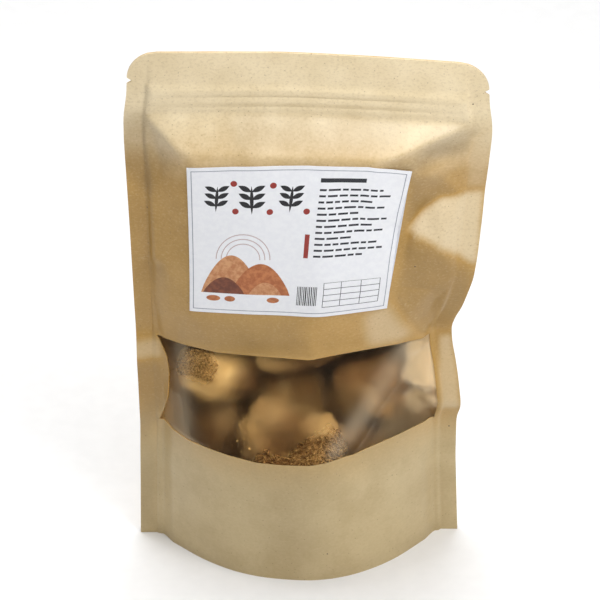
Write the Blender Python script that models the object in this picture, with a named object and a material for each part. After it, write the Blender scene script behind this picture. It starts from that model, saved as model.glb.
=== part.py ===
"""Stand-up kraft paper pouch with a film window and a paper label, sealed at the top, with
dried lion's mane mushrooms inside. Run it with: blender --background --python part.py

Metres, +Z up. The origin is on the surface that the pouch stands on, under its middle; the
front faces -Y. Lengths are written in millimetres and scaled by MM where points are placed.

Both panels are described over their flat plan: s runs across it from -80 to 80, t up it from
0 to 260, and a depth says how far the filled panel bulges out from the middle plane there.
"""

import math
import random

import bmesh
import bpy
import numpy as np
from mathutils import Vector, noise
from mathutils.geometry import delaunay_2d_cdt

MM = 0.001

# Driving dimensions: a 160 x 260 mm pouch with a folded bottom.
POUCH_WIDTH = 160.0
POUCH_HEIGHT = 260.0
GUSSET_HALF = 42.0
SEAL_WIDTH = 8.5
CORNER_RADIUS = 13.0
NOTCH_HEIGHT = 245.5
NOTCH_HALF = 1.7
NOTCH_DEPTH = 2.4
PAPER = 0.5
FILM = 0.3
LABEL_THICKNESS = 0.3
GAP = 0.3
SKIRT = 5.0
LEAST_RISE = 10.0
GUSSET_SAG = 2.0
RIDGE_HALF = 0.6
GUSSET_PARTS = (0.3, 0.65)
GUSSET_TOP = 44.0
CLOSED_FROM = 57.0

HALF = POUCH_WIDTH / 2
SEAL_LINE = HALF - SEAL_WIDTH
FILM_END = SEAL_LINE - 1.3
OPENING = 1.0
SEAL_LIFT = 0.5
WAVE_INNER = 55.0
STRAIGHT_INNER = 60.0
FIELD_STEP = 2.0
FOLD_SOFTNESS = 2.0

# The standing top edge: level as far as TOP_LEVEL_TO, then sinking by TOP_SINK.
TOP_HEIGHT = 260.4
TOP_LEVEL_TO = -15.0
TOP_SINK = 6.5
TOP_SINK_POWER = 1.3

# Where the standing pouch's side edges are, as (height, x): its bulge draws them inwards,
# and the right one has buckled beside the window.
LEFT_EDGE = [
    (0, -76.0), (30, -75.6), (62, -75.3), (95, -76.1), (108, -76.3), (167, -78.1),
    (215, -79.9), (227, -79.9), (238, -78.4), (260, -77.6),
]
RIGHT_EDGE = [
    (0, 68.2), (44, 66.7), (67, 66.8), (76, 68.6), (89, 67.2), (98, 65.8), (104, 64.5),
    (113, 63.9), (121, 65.9), (129, 69.3), (148, 73.5), (163, 75.0), (180, 76.5),
    (197, 77.9), (222, 79.8), (228, 79.8), (239, 78.4), (260, 77.6),
]
# How far each side seal waves towards the front, as (t, forward).
LEFT_WAVE = [
    (0, 1.0), (46, 1.0), (63, -0.5), (85, 0.3), (97, 1.3), (105, 0.5),
    (112, -1.2), (130, -0.3), (150, 0), (260, 0),
]
RIGHT_WAVE = [
    (0, -1.5), (46, -1.5), (60, -0.5), (68, 1.0), (76, 3.5), (85, 1.5), (100, -3.0),
    (113, -5.0), (127, 0.0), (140, 4.5), (150, 6.0), (165, 2.5), (185, -0.5), (210, 0),
    (260, 0),
]

# Fold points of the front panel, as (s, t, depth).
FRONT_POINTS = {
    "top_left": (-80, 260, 0), "top_right": (80, 260, 0),
    "seal_left": (-80, 247, 0), "seal_right": (80, 247, 0),
    "zip_top_left": (-70, 244, 0.6), "zip_top_right": (70, 244, 0.6),
    "zip_rib_left": (-69, 240, 1.7), "zip_rib_right": (69, 240, 1.7),
    "zip_mid_left": (-69, 237, 1.4), "zip_mid_right": (69, 237, 1.4),
    "zip_low_left": (-69, 233, 1.3), "zip_low_right": (69, 233, 1.3),
    "pocket_left": (-71, 229.5, 0.8), "pocket_right": (71, 228, 0.8),
    "pocket_a": (-35, 229.5, 1.0), "pocket_b": (0, 229.2, 1.2), "pocket_c": (35, 228.6, 1.0),
    "shoulder_a": (-64.5, 207, 5.2), "shoulder_b": (-51.5, 212, 11.5),
    "shoulder_c": (-22.7, 213.5, 14.0), "shoulder_d": (5.5, 214.6, 14.8),
    "shoulder_e": (30.3, 213.7, 14.0), "shoulder_f": (48.6, 219.8, 8.5),
    "shoulder_g": (67.2, 227.3, 2.0),
    "left_fold_a": (-64.8, 187, 5.8), "left_fold_b": (-65.2, 155, 6.8),
    "left_fold_c": (-65.8, 127, 5.0),
    "label_left_a": (-52, 191, 12.2), "label_left_b": (-52.5, 160, 13.2),
    "label_left_c": (-52.5, 133, 13.2),
    "ridge_a": (7.8, 209.5, 15.0), "ridge_b": (7.4, 179.4, 17.0), "ridge_c": (6.8, 147.8, 18.0),
    "ridge_d": (8.3, 119.5, 16.5), "ridge_e": (8.9, 107.5, 14.0),
    "mid_left_a": (-22.7, 209, 14.3), "mid_left_b": (-22.7, 178, 15.6),
    "mid_left_c": (-22.4, 146.5, 16.8), "mid_left_d": (-18.9, 118, 14.6),
    "mid_right_a": (26.8, 178, 13.2), "mid_right_b": (26.7, 145.3, 13.5),
    "mid_right_c": (27.8, 116, 11.0),
    "label_right_a": (45.8, 208.5, 10.2), "label_right_b": (44.1, 189.5, 8.0),
    "label_right_c": (40.8, 149, 8.8),
    "dimple_a": (46.1, 173.9, 5.5), "dimple_b": (55.5, 176.6, 2.8), "dimple_c": (63.6, 182.3, 1.4),
    "brow_a": (49, 172.5, 8.0), "brow_b": (61.6, 167.3, 8.8), "brow_c": (76.5, 150.7, 6.0),
    "cheek_a": (43.3, 144.3, 9.0), "cheek_b": (60.4, 141.6, 8.0), "cheek_c": (77, 140, 4.5),
    "corner_fold": (54.5, 128.9, 8.0), "corner_end": (67, 113.9, -1.0),
    "under_label": (42.4, 126, 8.2), "right_plain": (58, 203, 4.5),
    "window_a": (-69, 110, 0.2), "window_b": (-55.5, 109.1, 5.9), "window_c": (-39, 108.1, 10.3),
    "window_d": (-18.4, 107.4, 12.0), "window_e": (28, 108, 9.9), "window_f": (51, 109, 3.6),
    "film_left_a": (-57.5, 106, 6.5), "film_left_b": (-56.5, 86, 15.0),
    "film_left_c": (-55.3, 66.2, 18.5), "film_side": (-66.5, 88, 3.5),
    "film_mid_a": (-33.6, 90, 21.5), "film_mid_b": (-8, 88, 25.0), "film_mid_c": (12, 88, 25.5),
    "film_fold_a": (64, 108, 1.0), "film_fold_b": (54.6, 98.6, 9.0), "film_fold_c": (38.5, 84, 20.0),
    "film_fold_d": (26.9, 66.8, 29.5), "film_tuck_a": (56, 84, 6.5), "film_tuck_b": (66, 84, 2.5),
    "sill_a": (-70, 64, 1.2), "sill_b": (-55, 64.3, 16.9), "sill_c": (-43.4, 64.6, 24.8),
    "sill_d": (-35.3, 64.7, 29.2), "sill_e": (-20.3, 65.1, 35.3), "sill_f": (-8.8, 65.3, 37.3),
    "sill_g": (5.5, 65.7, 38.0), "sill_h": (14.1, 65.8, 36.0), "sill_i": (25.7, 66.1, 30.1),
    "sill_j": (48.9, 66.6, 15.6), "sill_k": (69.4, 67, 1.0),
    "low_a": (-70, 32, 2.6), "low_b": (-62, 32, 9.5), "low_c": (-53.5, 32, 18.3),
    "low_d": (-35.5, 32, 29.5), "low_e": (-19, 32, 35.6), "low_f": (4.5, 32, 38.0),
    "low_g": (22, 32, 33.6), "low_h": (38, 32, 25.2), "low_i": (51, 32, 16.3),
    "low_j": (61.5, 32, 7.6), "low_k": (70, 32, 0.5),
    "rim_a": (-80, 0, 1.7), "rim_b": (-69.7, 0, 4.0), "rim_c": (-61.8, 0, 8.7),
    "rim_d": (-52, 0, 18.3), "rim_e": (-35.8, 0, 28.2), "rim_f": (-18, 0, 34.0),
    "rim_g": (3.8, 0, 36.4), "rim_h": (21.6, 0, 34.2), "rim_i": (38.3, 0, 27.2),
    "rim_j": (52.6, 0, 17.0), "rim_k": (61.7, 0, 6.8), "rim_l": (69.6, 0, 0.3),
    "rim_m": (80, 0, -2.1),
}
FRONT_FOLDS = [
    "zip_top_left zip_top_right", "zip_rib_left zip_rib_right", "zip_mid_left zip_mid_right",
    "zip_low_left zip_low_right", "pocket_left pocket_a pocket_b pocket_c pocket_right",
    "pocket_left shoulder_a left_fold_a left_fold_b left_fold_c window_a",
    "shoulder_a shoulder_b shoulder_c shoulder_d shoulder_e shoulder_f shoulder_g pocket_right",
    "shoulder_b label_left_a label_left_b label_left_c window_b",
    "ridge_a ridge_b ridge_c ridge_d ridge_e", "dimple_a dimple_b dimple_c",
    "brow_a brow_b brow_c", "cheek_a cheek_b cheek_c", "cheek_a corner_fold corner_end",
    "window_a window_b window_c window_d ridge_e window_e window_f corner_end",
    "film_left_a film_left_b film_left_c", "film_fold_a film_fold_b film_fold_c film_fold_d",
    "sill_a sill_b sill_c sill_d sill_e sill_f sill_g sill_h sill_i sill_j sill_k",
    "low_a low_b low_c low_d low_e low_f low_g low_h low_i low_j low_k",
]

# The back panel has no window or label to stiffen it, so it bulges further, in plain folds.
BACK_POINTS = {
    "top_left": (-80, 260, 0), "top_right": (80, 260, 0),
    "seal_left": (-80, 247, 0), "seal_right": (80, 247, 0),
    "zip_top_left": (-70, 244, 0.6), "zip_top_right": (70, 244, 0.6),
    "zip_rib_left": (-69, 240, 1.7), "zip_rib_right": (69, 240, 1.7),
    "zip_mid_left": (-69, 237, 1.4), "zip_mid_right": (69, 237, 1.4),
    "zip_low_left": (-69, 233, 1.3), "zip_low_right": (69, 233, 1.3),
    "pocket_left": (-71, 229, 0.8), "pocket_mid": (0, 229, 1.2), "pocket_right": (71, 229, 0.8),
    "shoulder_a": (-63, 212, 4.0), "shoulder_b": (-44, 205, 11.0), "shoulder_c": (-15, 207, 13.5),
    "shoulder_d": (14, 205, 13.0), "shoulder_e": (42, 208, 10.0), "shoulder_f": (64, 216, 3.5),
    "side_left_a": (-63, 170, 7.0), "side_left_b": (-62, 130, 10.5), "side_left_c": (-62, 95, 12.5),
    "side_right_a": (62, 172, 6.5), "side_right_b": (60, 128, 10.0), "side_right_c": (61, 96, 12.0),
    "mid_a": (-36, 168, 18.0), "mid_b": (-4, 172, 20.5), "mid_c": (30, 166, 18.5),
    "belly_a": (-40, 128, 24.5), "belly_b": (-10, 132, 27.5), "belly_c": (14, 126, 28.0),
    "belly_d": (40, 130, 22.5),
    "hip_a": (-44, 90, 26.0), "hip_b": (-20, 86, 33.5), "hip_c": (6, 90, 35.0),
    "hip_d": (28, 84, 32.5), "hip_e": (46, 88, 24.0),
    "low_a": (-70, 50, 1.6), "low_b": (-60, 48, 12.0), "low_c": (-44, 46, 26.0),
    "low_d": (-22, 48, 34.8), "low_e": (2, 46, 37.4), "low_f": (24, 48, 34.2),
    "low_g": (42, 46, 26.5), "low_h": (58, 48, 13.0), "low_i": (70, 50, 1.4),
    "rim_a": (-80, 0, -1.7), "rim_b": (-70, 0, 1.0), "rim_c": (-61, 0, 7.5), "rim_d": (-50, 0, 18.0),
    "rim_e": (-35, 0, 28.4), "rim_f": (-17, 0, 34.4), "rim_g": (1, 0, 36.4), "rim_h": (19, 0, 34.0),
    "rim_i": (36, 0, 27.8), "rim_j": (51, 0, 17.4), "rim_k": (62, 0, 7.5), "rim_l": (70, 0, 3.5),
    "rim_m": (80, 0, 2.1),
}
BACK_FOLDS = [
    "zip_top_left zip_top_right", "zip_rib_left zip_rib_right", "zip_mid_left zip_mid_right",
    "zip_low_left zip_low_right", "pocket_left pocket_mid pocket_right",
    "pocket_left shoulder_a shoulder_b shoulder_c shoulder_d shoulder_e shoulder_f pocket_right",
    "shoulder_b mid_a belly_a hip_a low_c", "shoulder_e mid_c belly_d hip_e low_g",
    "low_a low_b low_c low_d low_e low_f low_g low_h low_i",
]

# The window in the front panel, over the flat plan.
WINDOW_TOP = [(-70, 110), (-39, 108.1), (-18, 107.4), (9, 107.5), (28, 108), (51, 109), (70, 110)]
WINDOW_SILL = [(-70, 64), (-20, 65.1), (26, 66.1), (70, 67)]
WINDOW_SIDE_BOW = [(64, 0), (72, 2.2), (82, 4.0), (92, 4.7), (101, 4.4), (106, 2.4), (110, 0)]
WINDOW_LEFT = -68.5
WINDOW_RIGHT = 68.5
SILL_ROW = 65.0
LINTEL_ROW = 108.5

# The label and the press-to-close strip, over the flat plan.
LABEL_LEFT, LABEL_RIGHT, LABEL_LOW, LABEL_HIGH = -52.5, 44.8, 133.0, 209.0
ZIP_LOW, ZIP_HIGH, ZIP_MID = 233.0, 243.0, 239.5
ZIP_GROOVE, ZIP_RIB = 237.0, 240.0
ZIP_MARGIN = 0.5
ZIP_END = 66.0
ZIP_TAPE = 0.4
ZIP_TOOTH = 0.8
ZIP_JAW = 1.5
ZIP_REACH = 0.2

# Grid lines of the solids over the flat plan.
COLUMNS = [
    -HALF, -SEAL_LINE, -FILM_END, WINDOW_LEFT, -60.5, LABEL_LEFT, -40.5, -28.5, -16.5, -4.5,
    7.5, 17, 26, 35.5, LABEL_RIGHT, 53, 61, WINDOW_RIGHT, FILM_END, SEAL_LINE, HALF,
]
ROWS = [
    0, SKIRT, 24, GUSSET_TOP, CLOSED_FROM, SILL_ROW, 79, 94, LINTEL_ROW, 120, LABEL_LOW, 152, 171,
    190, LABEL_HIGH, 214.5, 221, 229, ZIP_LOW, ZIP_GROOVE, ZIP_RIB, ZIP_HIGH,
    NOTCH_HEIGHT - NOTCH_HALF, NOTCH_HEIGHT, NOTCH_HEIGHT + NOTCH_HALF,
    251.5, 256, 258.8, POUCH_HEIGHT,
]

KRAFT = (0.60, 0.42, 0.24)
CLEAR = (0.80, 0.79, 0.76)
WHITE = (0.86, 0.87, 0.90)
MUSHROOM = (0.52, 0.33, 0.15)

# Dried mushrooms: (centre, half sizes, axis towards the spiny side), in millimetres.
MUSHROOMS = {
    "mushroom_1": ((-6.9, -21, 46), (22, 14, 31), (0.5, -0.8, -0.1)),
    "mushroom_2": ((-39.4, 1.8, 91.1), (19, 12, 17), (-0.6, -0.6, 0.5)),
    "mushroom_3": ((-10.9, 20.7, 35.4), (21, 13, 25), (-0.2, 0.6, 0.7)),
    "mushroom_4": ((20.9, 4.4, 45.8), (14, 17, 19), (0.7, -0.4, 0.5)),
    "mushroom_5": ((-37.9, 6.1, 55.4), (12, 15, 19), (-0.8, 0.2, -0.4)),
    "mushroom_6": ((-8, 7, 72.3), (17, 15, 18.5), (0.2, -0.5, 0.8)),
    "mushroom_7": ((31.1, 2, 80.1), (13, 13, 18), (0.5, 0.6, 0.5)),
    "mushroom_8": ((1.5, 2, 109.7), (18, 12, 16), (-0.3, -0.5, 0.8)),
}
SPINE_LENGTH = 4.5
SPINE_DROOP = 0.25
SPINE_BEND = 0.35
SPINES = 45
SPINY_FROM = -0.35
LUMPS = ((1.6, 0.10), (4, 0.05))
BASE_CUT = 0.8
BASE_DISH_FROM = 0.95
BASE_DISH = 0.92


def clear_scene():
    for thing in list(bpy.data.objects):
        bpy.data.objects.remove(thing)


def material(name, colour, roughness):
    made = bpy.data.materials.new(name)
    made.use_nodes = True
    shader = made.node_tree.nodes["Principled BSDF"]
    shader.inputs["Base Color"].default_value = (*colour, 1)
    shader.inputs["Roughness"].default_value = roughness
    shader.inputs["Metallic"].default_value = 0.0
    return made


def along(table, value):
    """Reads a list of (place, amount) pairs at a place, in straight runs."""
    places, amounts = zip(*table)
    return np.interp(value, places, amounts)


def top_height(s):
    """The sealed top edge is level on the left and sinks towards the right."""
    sunk = np.clip((np.asarray(s, float) - TOP_LEVEL_TO) / (HALF - TOP_LEVEL_TO), 0, 1)
    return TOP_HEIGHT - TOP_SINK * sunk**TOP_SINK_POWER


def half_width(t):
    """Half the flat width at t, less the rounded corners and the tear notches."""
    width = HALF
    rise = t - (POUCH_HEIGHT - CORNER_RADIUS)
    if rise > 0:
        width -= CORNER_RADIUS - math.sqrt(max(CORNER_RADIUS**2 - rise**2, 0))
    from_notch = abs(t - NOTCH_HEIGHT)
    if from_notch < NOTCH_HALF:
        width -= NOTCH_DEPTH * (1 - from_notch / NOTCH_HALF)
    return width


class FoldedSheet:
    """Depth over the flat plan: flat facets between the fold points, softened a little."""

    def __init__(self, points, folds, forward):
        places = list(points.values())
        number = {name: i for i, name in enumerate(points)}
        lines = []
        for fold in folds:
            names = fold.split()
            lines += [(number[a], number[b]) for a, b in zip(names, names[1:])]
        for side, wave in ((-1, LEFT_WAVE), (1, RIGHT_WAVE)):
            self.add_line(places, lines, [(side * HALF, t, forward * w) for t, w in wave])
            inner = [(side * SEAL_LINE, t, forward * w + SEAL_LIFT) for t, w in wave if t < NOTCH_HEIGHT]
            self.add_line(places, lines, inner)
        flat = [Vector((s, t)) for s, t, _ in places]
        corners, _, facets, origins, _, _ = delaunay_2d_cdt(flat, lines, [], 0, 1e-4)
        corners = np.array([tuple(corner) for corner in corners])
        depths = self.corner_depths(corners, origins, places)
        self.raster(corners, depths, facets)
        self.soften()

    @staticmethod
    def add_line(places, lines, extra):
        start = len(places)
        places += extra
        lines += [(start + i, start + i + 1) for i in range(len(extra) - 1)]

    @staticmethod
    def corner_depths(corners, origins, places):
        """A corner made where two fold lines cross takes the mean of its nearest fold points."""
        known = [i for i, from_points in enumerate(origins) if from_points]
        depths = np.zeros(len(corners))
        for i in known:
            depths[i] = np.mean([places[j][2] for j in origins[i]])
        for i in set(range(len(corners))) - set(known):
            apart = np.linalg.norm(corners[known] - corners[i], axis=1)
            nearest = np.argsort(apart)[:3]
            weights = 1 / apart[nearest]
            depths[i] = np.sum(weights * depths[np.array(known)[nearest]]) / weights.sum()
        return depths

    def raster(self, corners, depths, facets):
        self.s = np.arange(-HALF, HALF + FIELD_STEP / 2, FIELD_STEP)
        self.t = np.arange(0, POUCH_HEIGHT + FIELD_STEP / 2, FIELD_STEP)
        self.depth = np.zeros((len(self.t), len(self.s)))
        ss, tt = np.meshgrid(self.s, self.t)
        for facet in facets:
            for k in range(1, len(facet) - 1):
                ids = [facet[0], facet[k], facet[k + 1]]
                a, b, c = corners[ids]
                doubled = (b[0] - a[0]) * (c[1] - a[1]) - (c[0] - a[0]) * (b[1] - a[1])
                if abs(doubled) < 1e-9:
                    continue
                to_b = ((ss - a[0]) * (c[1] - a[1]) - (c[0] - a[0]) * (tt - a[1])) / doubled
                to_c = ((b[0] - a[0]) * (tt - a[1]) - (ss - a[0]) * (b[1] - a[1])) / doubled
                inside = (to_b > -1e-6) & (to_c > -1e-6) & (to_b + to_c < 1 + 1e-6)
                da, db, dc = depths[ids]
                self.depth[inside] = (da + to_b * (db - da) + to_c * (dc - da))[inside]

    def soften(self):
        reach = int(3 * FOLD_SOFTNESS / FIELD_STEP) + 1
        steps = np.arange(-reach, reach + 1) * FIELD_STEP
        weights = np.exp(-(steps**2) / (2 * FOLD_SOFTNESS**2))
        weights /= weights.sum()
        for axis in (0, 1):
            pad = [(0, 0), (0, 0)]
            pad[axis] = (reach, reach)
            wide = np.pad(self.depth, pad, mode="edge")
            self.depth = np.apply_along_axis(np.convolve, axis, wide, weights, "valid")

    def at(self, s, t):
        column = np.clip((np.asarray(s, float) + HALF) / FIELD_STEP, 0, len(self.s) - 1.001)
        row = np.clip(np.asarray(t, float) / FIELD_STEP, 0, len(self.t) - 1.001)
        i, j = column.astype(int), row.astype(int)
        u, v = column - i, row - j
        low = self.depth[j, i] * (1 - u) + self.depth[j, i + 1] * u
        high = self.depth[j + 1, i] * (1 - u) + self.depth[j + 1, i + 1] * u
        return low * (1 - v) + high * v


def wave_at(s, t):
    """The middle plane follows the wave of the nearer side seal, fading out inside the pouch."""
    near_left = np.clip((-s - WAVE_INNER) / (SEAL_LINE - WAVE_INNER), 0, 1)
    near_right = np.clip((s - WAVE_INNER) / (SEAL_LINE - WAVE_INNER), 0, 1)
    return near_left * along(LEFT_WAVE, t) + near_right * along(RIGHT_WAVE, t)


def layer_gap(t):
    """Half the gap between the panels at the seals: the folded bottom lies in it low down."""
    return np.interp(t, [GUSSET_TOP, CLOSED_FROM], [GAP + PAPER + GAP / 2, GAP / 2])


def plan_grid(columns, rows):
    """Flat (s, t) of each grid corner, its lines bent to the window and to the outline."""
    s, t = np.meshgrid(np.array(columns, float), np.array(rows, float))
    from_sill = np.interp(t, [40, SILL_ROW, LINTEL_ROW], [0, 1, 0])
    from_lintel = np.interp(t, [SILL_ROW, LINTEL_ROW, LABEL_LOW], [0, 1, 0])
    bow = along(WINDOW_SIDE_BOW, t) * np.interp(s, [-SEAL_LINE, WINDOW_LEFT, -50], [0, 1, 0])
    t = t + from_sill * (along(WINDOW_SILL, s) - SILL_ROW)
    t = t + from_lintel * (along(WINDOW_TOP, s) - LINTEL_ROW)
    s = s + bow
    # The outline pulls in only what is near the sides, so the middle columns stay straight.
    beyond = np.maximum(np.abs(s) - STRAIGHT_INNER, 0)
    squeeze = (np.vectorize(half_width)(t) - STRAIGHT_INNER) / (HALF - STRAIGHT_INNER)
    return s - np.sign(s) * beyond * (1 - squeeze), t


def place(s, t, depth):
    """Points of the standing pouch, in millimetres, for flat places and forward depths."""
    height = t * top_height(s) / POUCH_HEIGHT
    left, right = along(LEFT_EDGE, t), along(RIGHT_EDGE, t)
    x = left + (s + HALF) / POUCH_WIDTH * (right - left)
    return np.stack([x, -depth, height], axis=-1)


def panel_points(sheet, columns, rows, back=False):
    """Inner surface of a panel. The side seals of the two panels wave together."""
    s, t = plan_grid(columns, rows)
    middle = wave_at(s, t)
    bulge = sheet.at(s, t) + (middle if back else -middle)
    opening = OPENING * np.interp(np.abs(s), [FILM_END, SEAL_LINE], [1, 0])
    opening *= np.interp(t, [ZIP_HIGH, NOTCH_HEIGHT], [1, 0])
    unsealed = np.interp(np.abs(s), [FILM_END, SEAL_LINE], [1, 0])
    out = np.maximum(bulge * unsealed, opening) + layer_gap(t)
    return place(s, t, middle - out if back else middle + out)


def grid_normals(points):
    """Unit normals, away from the pouch's inside, and level where the grid meets the floor."""
    across = np.gradient(points, axis=1)
    up = np.gradient(points, axis=0)
    normal = np.cross(across, up)
    normal[points[..., 2] == 0, 2] = 0
    return normal / np.linalg.norm(normal, axis=-1, keepdims=True)


def sheet_object(name, points, keep, thickness, collection, finish, flip=False):
    """A closed sheet over the kept squares of a grid, thickened away from the pouch's inside."""
    away = -grid_normals(points) if flip else grid_normals(points)
    surfaces = (points, points + away * thickness)
    mesh = bmesh.new()
    corners = {}

    def corner(side, spot):
        if (side, spot) not in corners:
            corners[side, spot] = mesh.verts.new(surfaces[side][spot] * MM)
        return corners[side, spot]

    rim = {}
    for j in range(points.shape[0] - 1):
        for i in range(points.shape[1] - 1):
            if not keep(i, j):
                continue
            low, right, far, left = (j, i), (j, i + 1), (j + 1, i + 1), (j + 1, i)
            for facet in ([low, right, far], [low, far, left]):
                if flip:
                    facet.reverse()
                mesh.faces.new([corner(1, spot) for spot in facet])
                mesh.faces.new([corner(0, spot) for spot in facet[::-1]])
                for edge in zip(facet, facet[1:] + facet[:1]):
                    if rim.pop(edge[::-1], None) is None:
                        rim[edge] = True
    for start, end in rim:
        mesh.faces.new((corner(0, start), corner(0, end), corner(1, end), corner(1, start)))
    add_mesh(name, mesh, collection, finish)


def add_mesh(name, mesh, collection, finish):
    data = bpy.data.meshes.new(name)
    mesh.to_mesh(data)
    mesh.free()
    data.materials.append(finish)
    collection.objects.link(bpy.data.objects.new(name, data))


def gusset_points(front, back):
    """The folded bottom: a skirt inside each panel's rim and a ridge between them."""
    front_low = front[:2] - grid_normals(front)[:2] * (GAP + PAPER)
    back_low = back[:2] + grid_normals(back)[:2] * (GAP + PAPER)
    front_low[0, :, 2] = back_low[0, :, 2] = 0
    half_depth = (back_low[1, :, 1] - front_low[1, :, 1]) / 2
    ridge = (front_low[1] + back_low[1]) / 2
    slope = GUSSET_HALF - SKIRT
    ridge[:, 2] = SKIRT + np.sqrt(np.maximum(slope**2 - half_depth**2, LEAST_RISE**2))
    sag = GUSSET_SAG * np.minimum(half_depth / np.max(half_depth), 1)

    def slope_lines(low, side):
        brow = ridge.copy()
        brow[:, 1] += side * np.minimum(half_depth, RIDGE_HALF)
        lines = [low[0], low[1]]
        for part in GUSSET_PARTS:
            line = low[1] + (brow - low[1]) * part
            line[:, 2] -= sag * math.sin(math.pi * part)
            lines.append(line)
        return [*lines, brow]

    lines = slope_lines(front_low, -1) + slope_lines(back_low, 1)[::-1]
    points = np.array(lines)
    s = np.array(COLUMNS) + 0 * points[..., 2]
    flat_height = points[..., 2] * POUCH_HEIGHT / top_height(s)
    drawn_in = place(s, flat_height, 0 * s) - place(s, np.minimum(flat_height, SKIRT), 0 * s)
    points[..., 0] += drawn_in[..., 0]
    return points


def zip_profile(s, out_at, toothed, sign):
    """One cross-section of a strip half, as (t, y): a tape with a rib, or with two jaws."""
    def tape(t, depth):
        return (t, sign * (out_at(s, t) - depth))

    reach = -sign * ZIP_REACH
    low, high = ZIP_LOW + ZIP_MARGIN, ZIP_HIGH - ZIP_MARGIN
    outer = [tape(t, GAP) for t in (low, ZIP_GROOVE, ZIP_RIB, high)]
    inner = [tape(high, GAP + ZIP_TAPE)]
    for middle in (ZIP_MID,) if toothed else (ZIP_MID + ZIP_JAW, ZIP_MID - ZIP_JAW):
        above, below = middle + ZIP_TOOTH / 2, middle - ZIP_TOOTH / 2
        inner += [tape(above, GAP + ZIP_TAPE), (above, reach)]
        inner += [(below, reach), tape(below, GAP + ZIP_TAPE)]
    inner.append(tape(low, GAP + ZIP_TAPE))
    return outer + inner


def add_zip_strip(name, sheet, sign, collection, finish):
    def out_at(s, t):
        return float(sheet.at(s, t)) + GAP / 2

    sections = [-ZIP_END, *[s for s in COLUMNS if abs(s) < ZIP_END - 2][::2], ZIP_END]
    mesh = bmesh.new()
    rings = []
    for s in sections:
        ring = []
        for t, y in zip_profile(s, out_at, sign < 0, sign):
            x, _, z = place(np.float64(s), np.float64(t), 0.0)
            ring.append(mesh.verts.new((x * MM, y * MM, z * MM)))
        rings.append(ring)
    count = len(rings[0])
    for low, high in zip(rings, rings[1:]):
        for i in range(count):
            mesh.faces.new((low[i], low[(i + 1) % count], high[(i + 1) % count], high[i]))
    mesh.faces.new(rings[0])
    mesh.faces.new(rings[-1][::-1])
    bmesh.ops.recalc_face_normals(mesh, faces=mesh.faces)
    add_mesh(name, mesh, collection, finish)


def add_mushroom(name, collection, finish):
    """A lumpy ball with a smooth cut base, and spines on the side that its axis points to."""
    centre, half_sizes, axis = MUSHROOMS[name]
    seed = int(name.rsplit("_", 1)[1])
    axis = Vector(axis).normalized()
    shift = Vector((seed * 3.1, seed * 1.7, seed * 5.3))
    mesh = bmesh.new()
    bmesh.ops.create_icosphere(mesh, subdivisions=3, radius=1)
    for vert in mesh.verts:
        facing = vert.co.dot(axis)
        swell = 1 + sum(size * noise.noise(vert.co * rate + shift) for rate, size in LUMPS)
        if facing < -BASE_CUT:
            swell *= BASE_CUT / -facing
        if facing < -BASE_DISH_FROM:
            swell *= BASE_DISH
        vert.co = Vector(vert.co * swell)
    spiny = [face for face in mesh.faces if face.normal.dot(axis) > SPINY_FROM]
    random.Random(seed).shuffle(spiny)
    tips = bmesh.ops.poke(mesh, faces=spiny[:SPINES], offset=0)["verts"]
    radius = sum(half_sizes) / 3
    for tip in tips:
        outwards = tip.co.normalized() - axis * SPINE_BEND
        tip.co += (outwards - Vector((0, 0, SPINE_DROOP))).normalized() * SPINE_LENGTH / radius
    for vert in mesh.verts:
        vert.co = Vector([vert.co[k] * half_sizes[k] + centre[k] for k in range(3)]) * MM
    add_mesh(name, mesh, collection, finish)


def add_pouch(collection, kraft, clear, white):
    front_sheet = FoldedSheet(FRONT_POINTS, FRONT_FOLDS, 1)
    back_sheet = FoldedSheet(BACK_POINTS, BACK_FOLDS, -1)
    front = panel_points(front_sheet, COLUMNS, ROWS)
    back = panel_points(back_sheet, COLUMNS, ROWS, back=True)

    sill, lintel = ROWS.index(SILL_ROW), ROWS.index(LINTEL_ROW)
    left, right = COLUMNS.index(WINDOW_LEFT), COLUMNS.index(WINDOW_RIGHT)
    sheet_object(
        "front_panel", front, lambda i, j: not (left <= i < right and sill <= j < lintel),
        PAPER, collection, kraft,
    )
    sheet_object("back_panel", back, lambda i, j: True, PAPER, collection, kraft, flip=True)

    outwards = grid_normals(front)
    behind = front - outwards * (GAP + FILM)
    sheet_object(
        "window_film", behind, lambda i, j: 2 <= i < len(COLUMNS) - 3 and sill - 1 <= j <= lintel,
        FILM, collection, clear,
    )
    before = front + outwards * (PAPER + GAP)
    label_left, label_right = COLUMNS.index(LABEL_LEFT), COLUMNS.index(LABEL_RIGHT)
    label_low, label_high = ROWS.index(LABEL_LOW), ROWS.index(LABEL_HIGH)
    sheet_object(
        "label", before,
        lambda i, j: label_left <= i < label_right and label_low <= j < label_high,
        LABEL_THICKNESS, collection, white,
    )
    sheet_object(
        "bottom_gusset", gusset_points(front, back), lambda i, j: True, PAPER, collection, kraft,
    )
    add_zip_strip("zip_strip_front", front_sheet, -1, collection, clear)
    add_zip_strip("zip_strip_back", back_sheet, 1, collection, clear)


def main():
    clear_scene()
    collection = bpy.data.collections.new("mushroom_pouch")
    bpy.context.scene.collection.children.link(collection)
    kraft = material("kraft_paper", KRAFT, 0.6)
    clear = material("frosted_film", CLEAR, 0.3)
    white = material("label_paper", WHITE, 0.35)
    dried = material("dried_mushroom", MUSHROOM, 0.8)
    add_pouch(collection, kraft, clear, white)
    for name in MUSHROOMS:
        add_mushroom(name, collection, dried)


main()
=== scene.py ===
"""Looks of the stand-up kraft pouch: creased paper, a crumpled frosted film window, a printed
sticker and dried lion's mane mushrooms behind the film.

Lengths are in millimetres and scaled by MM where points are placed. s runs across the flat
panel from -80 to 80, t up it from 0 to 260; a depth says how far the panel bulges out.
"""

import math
import random

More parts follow.
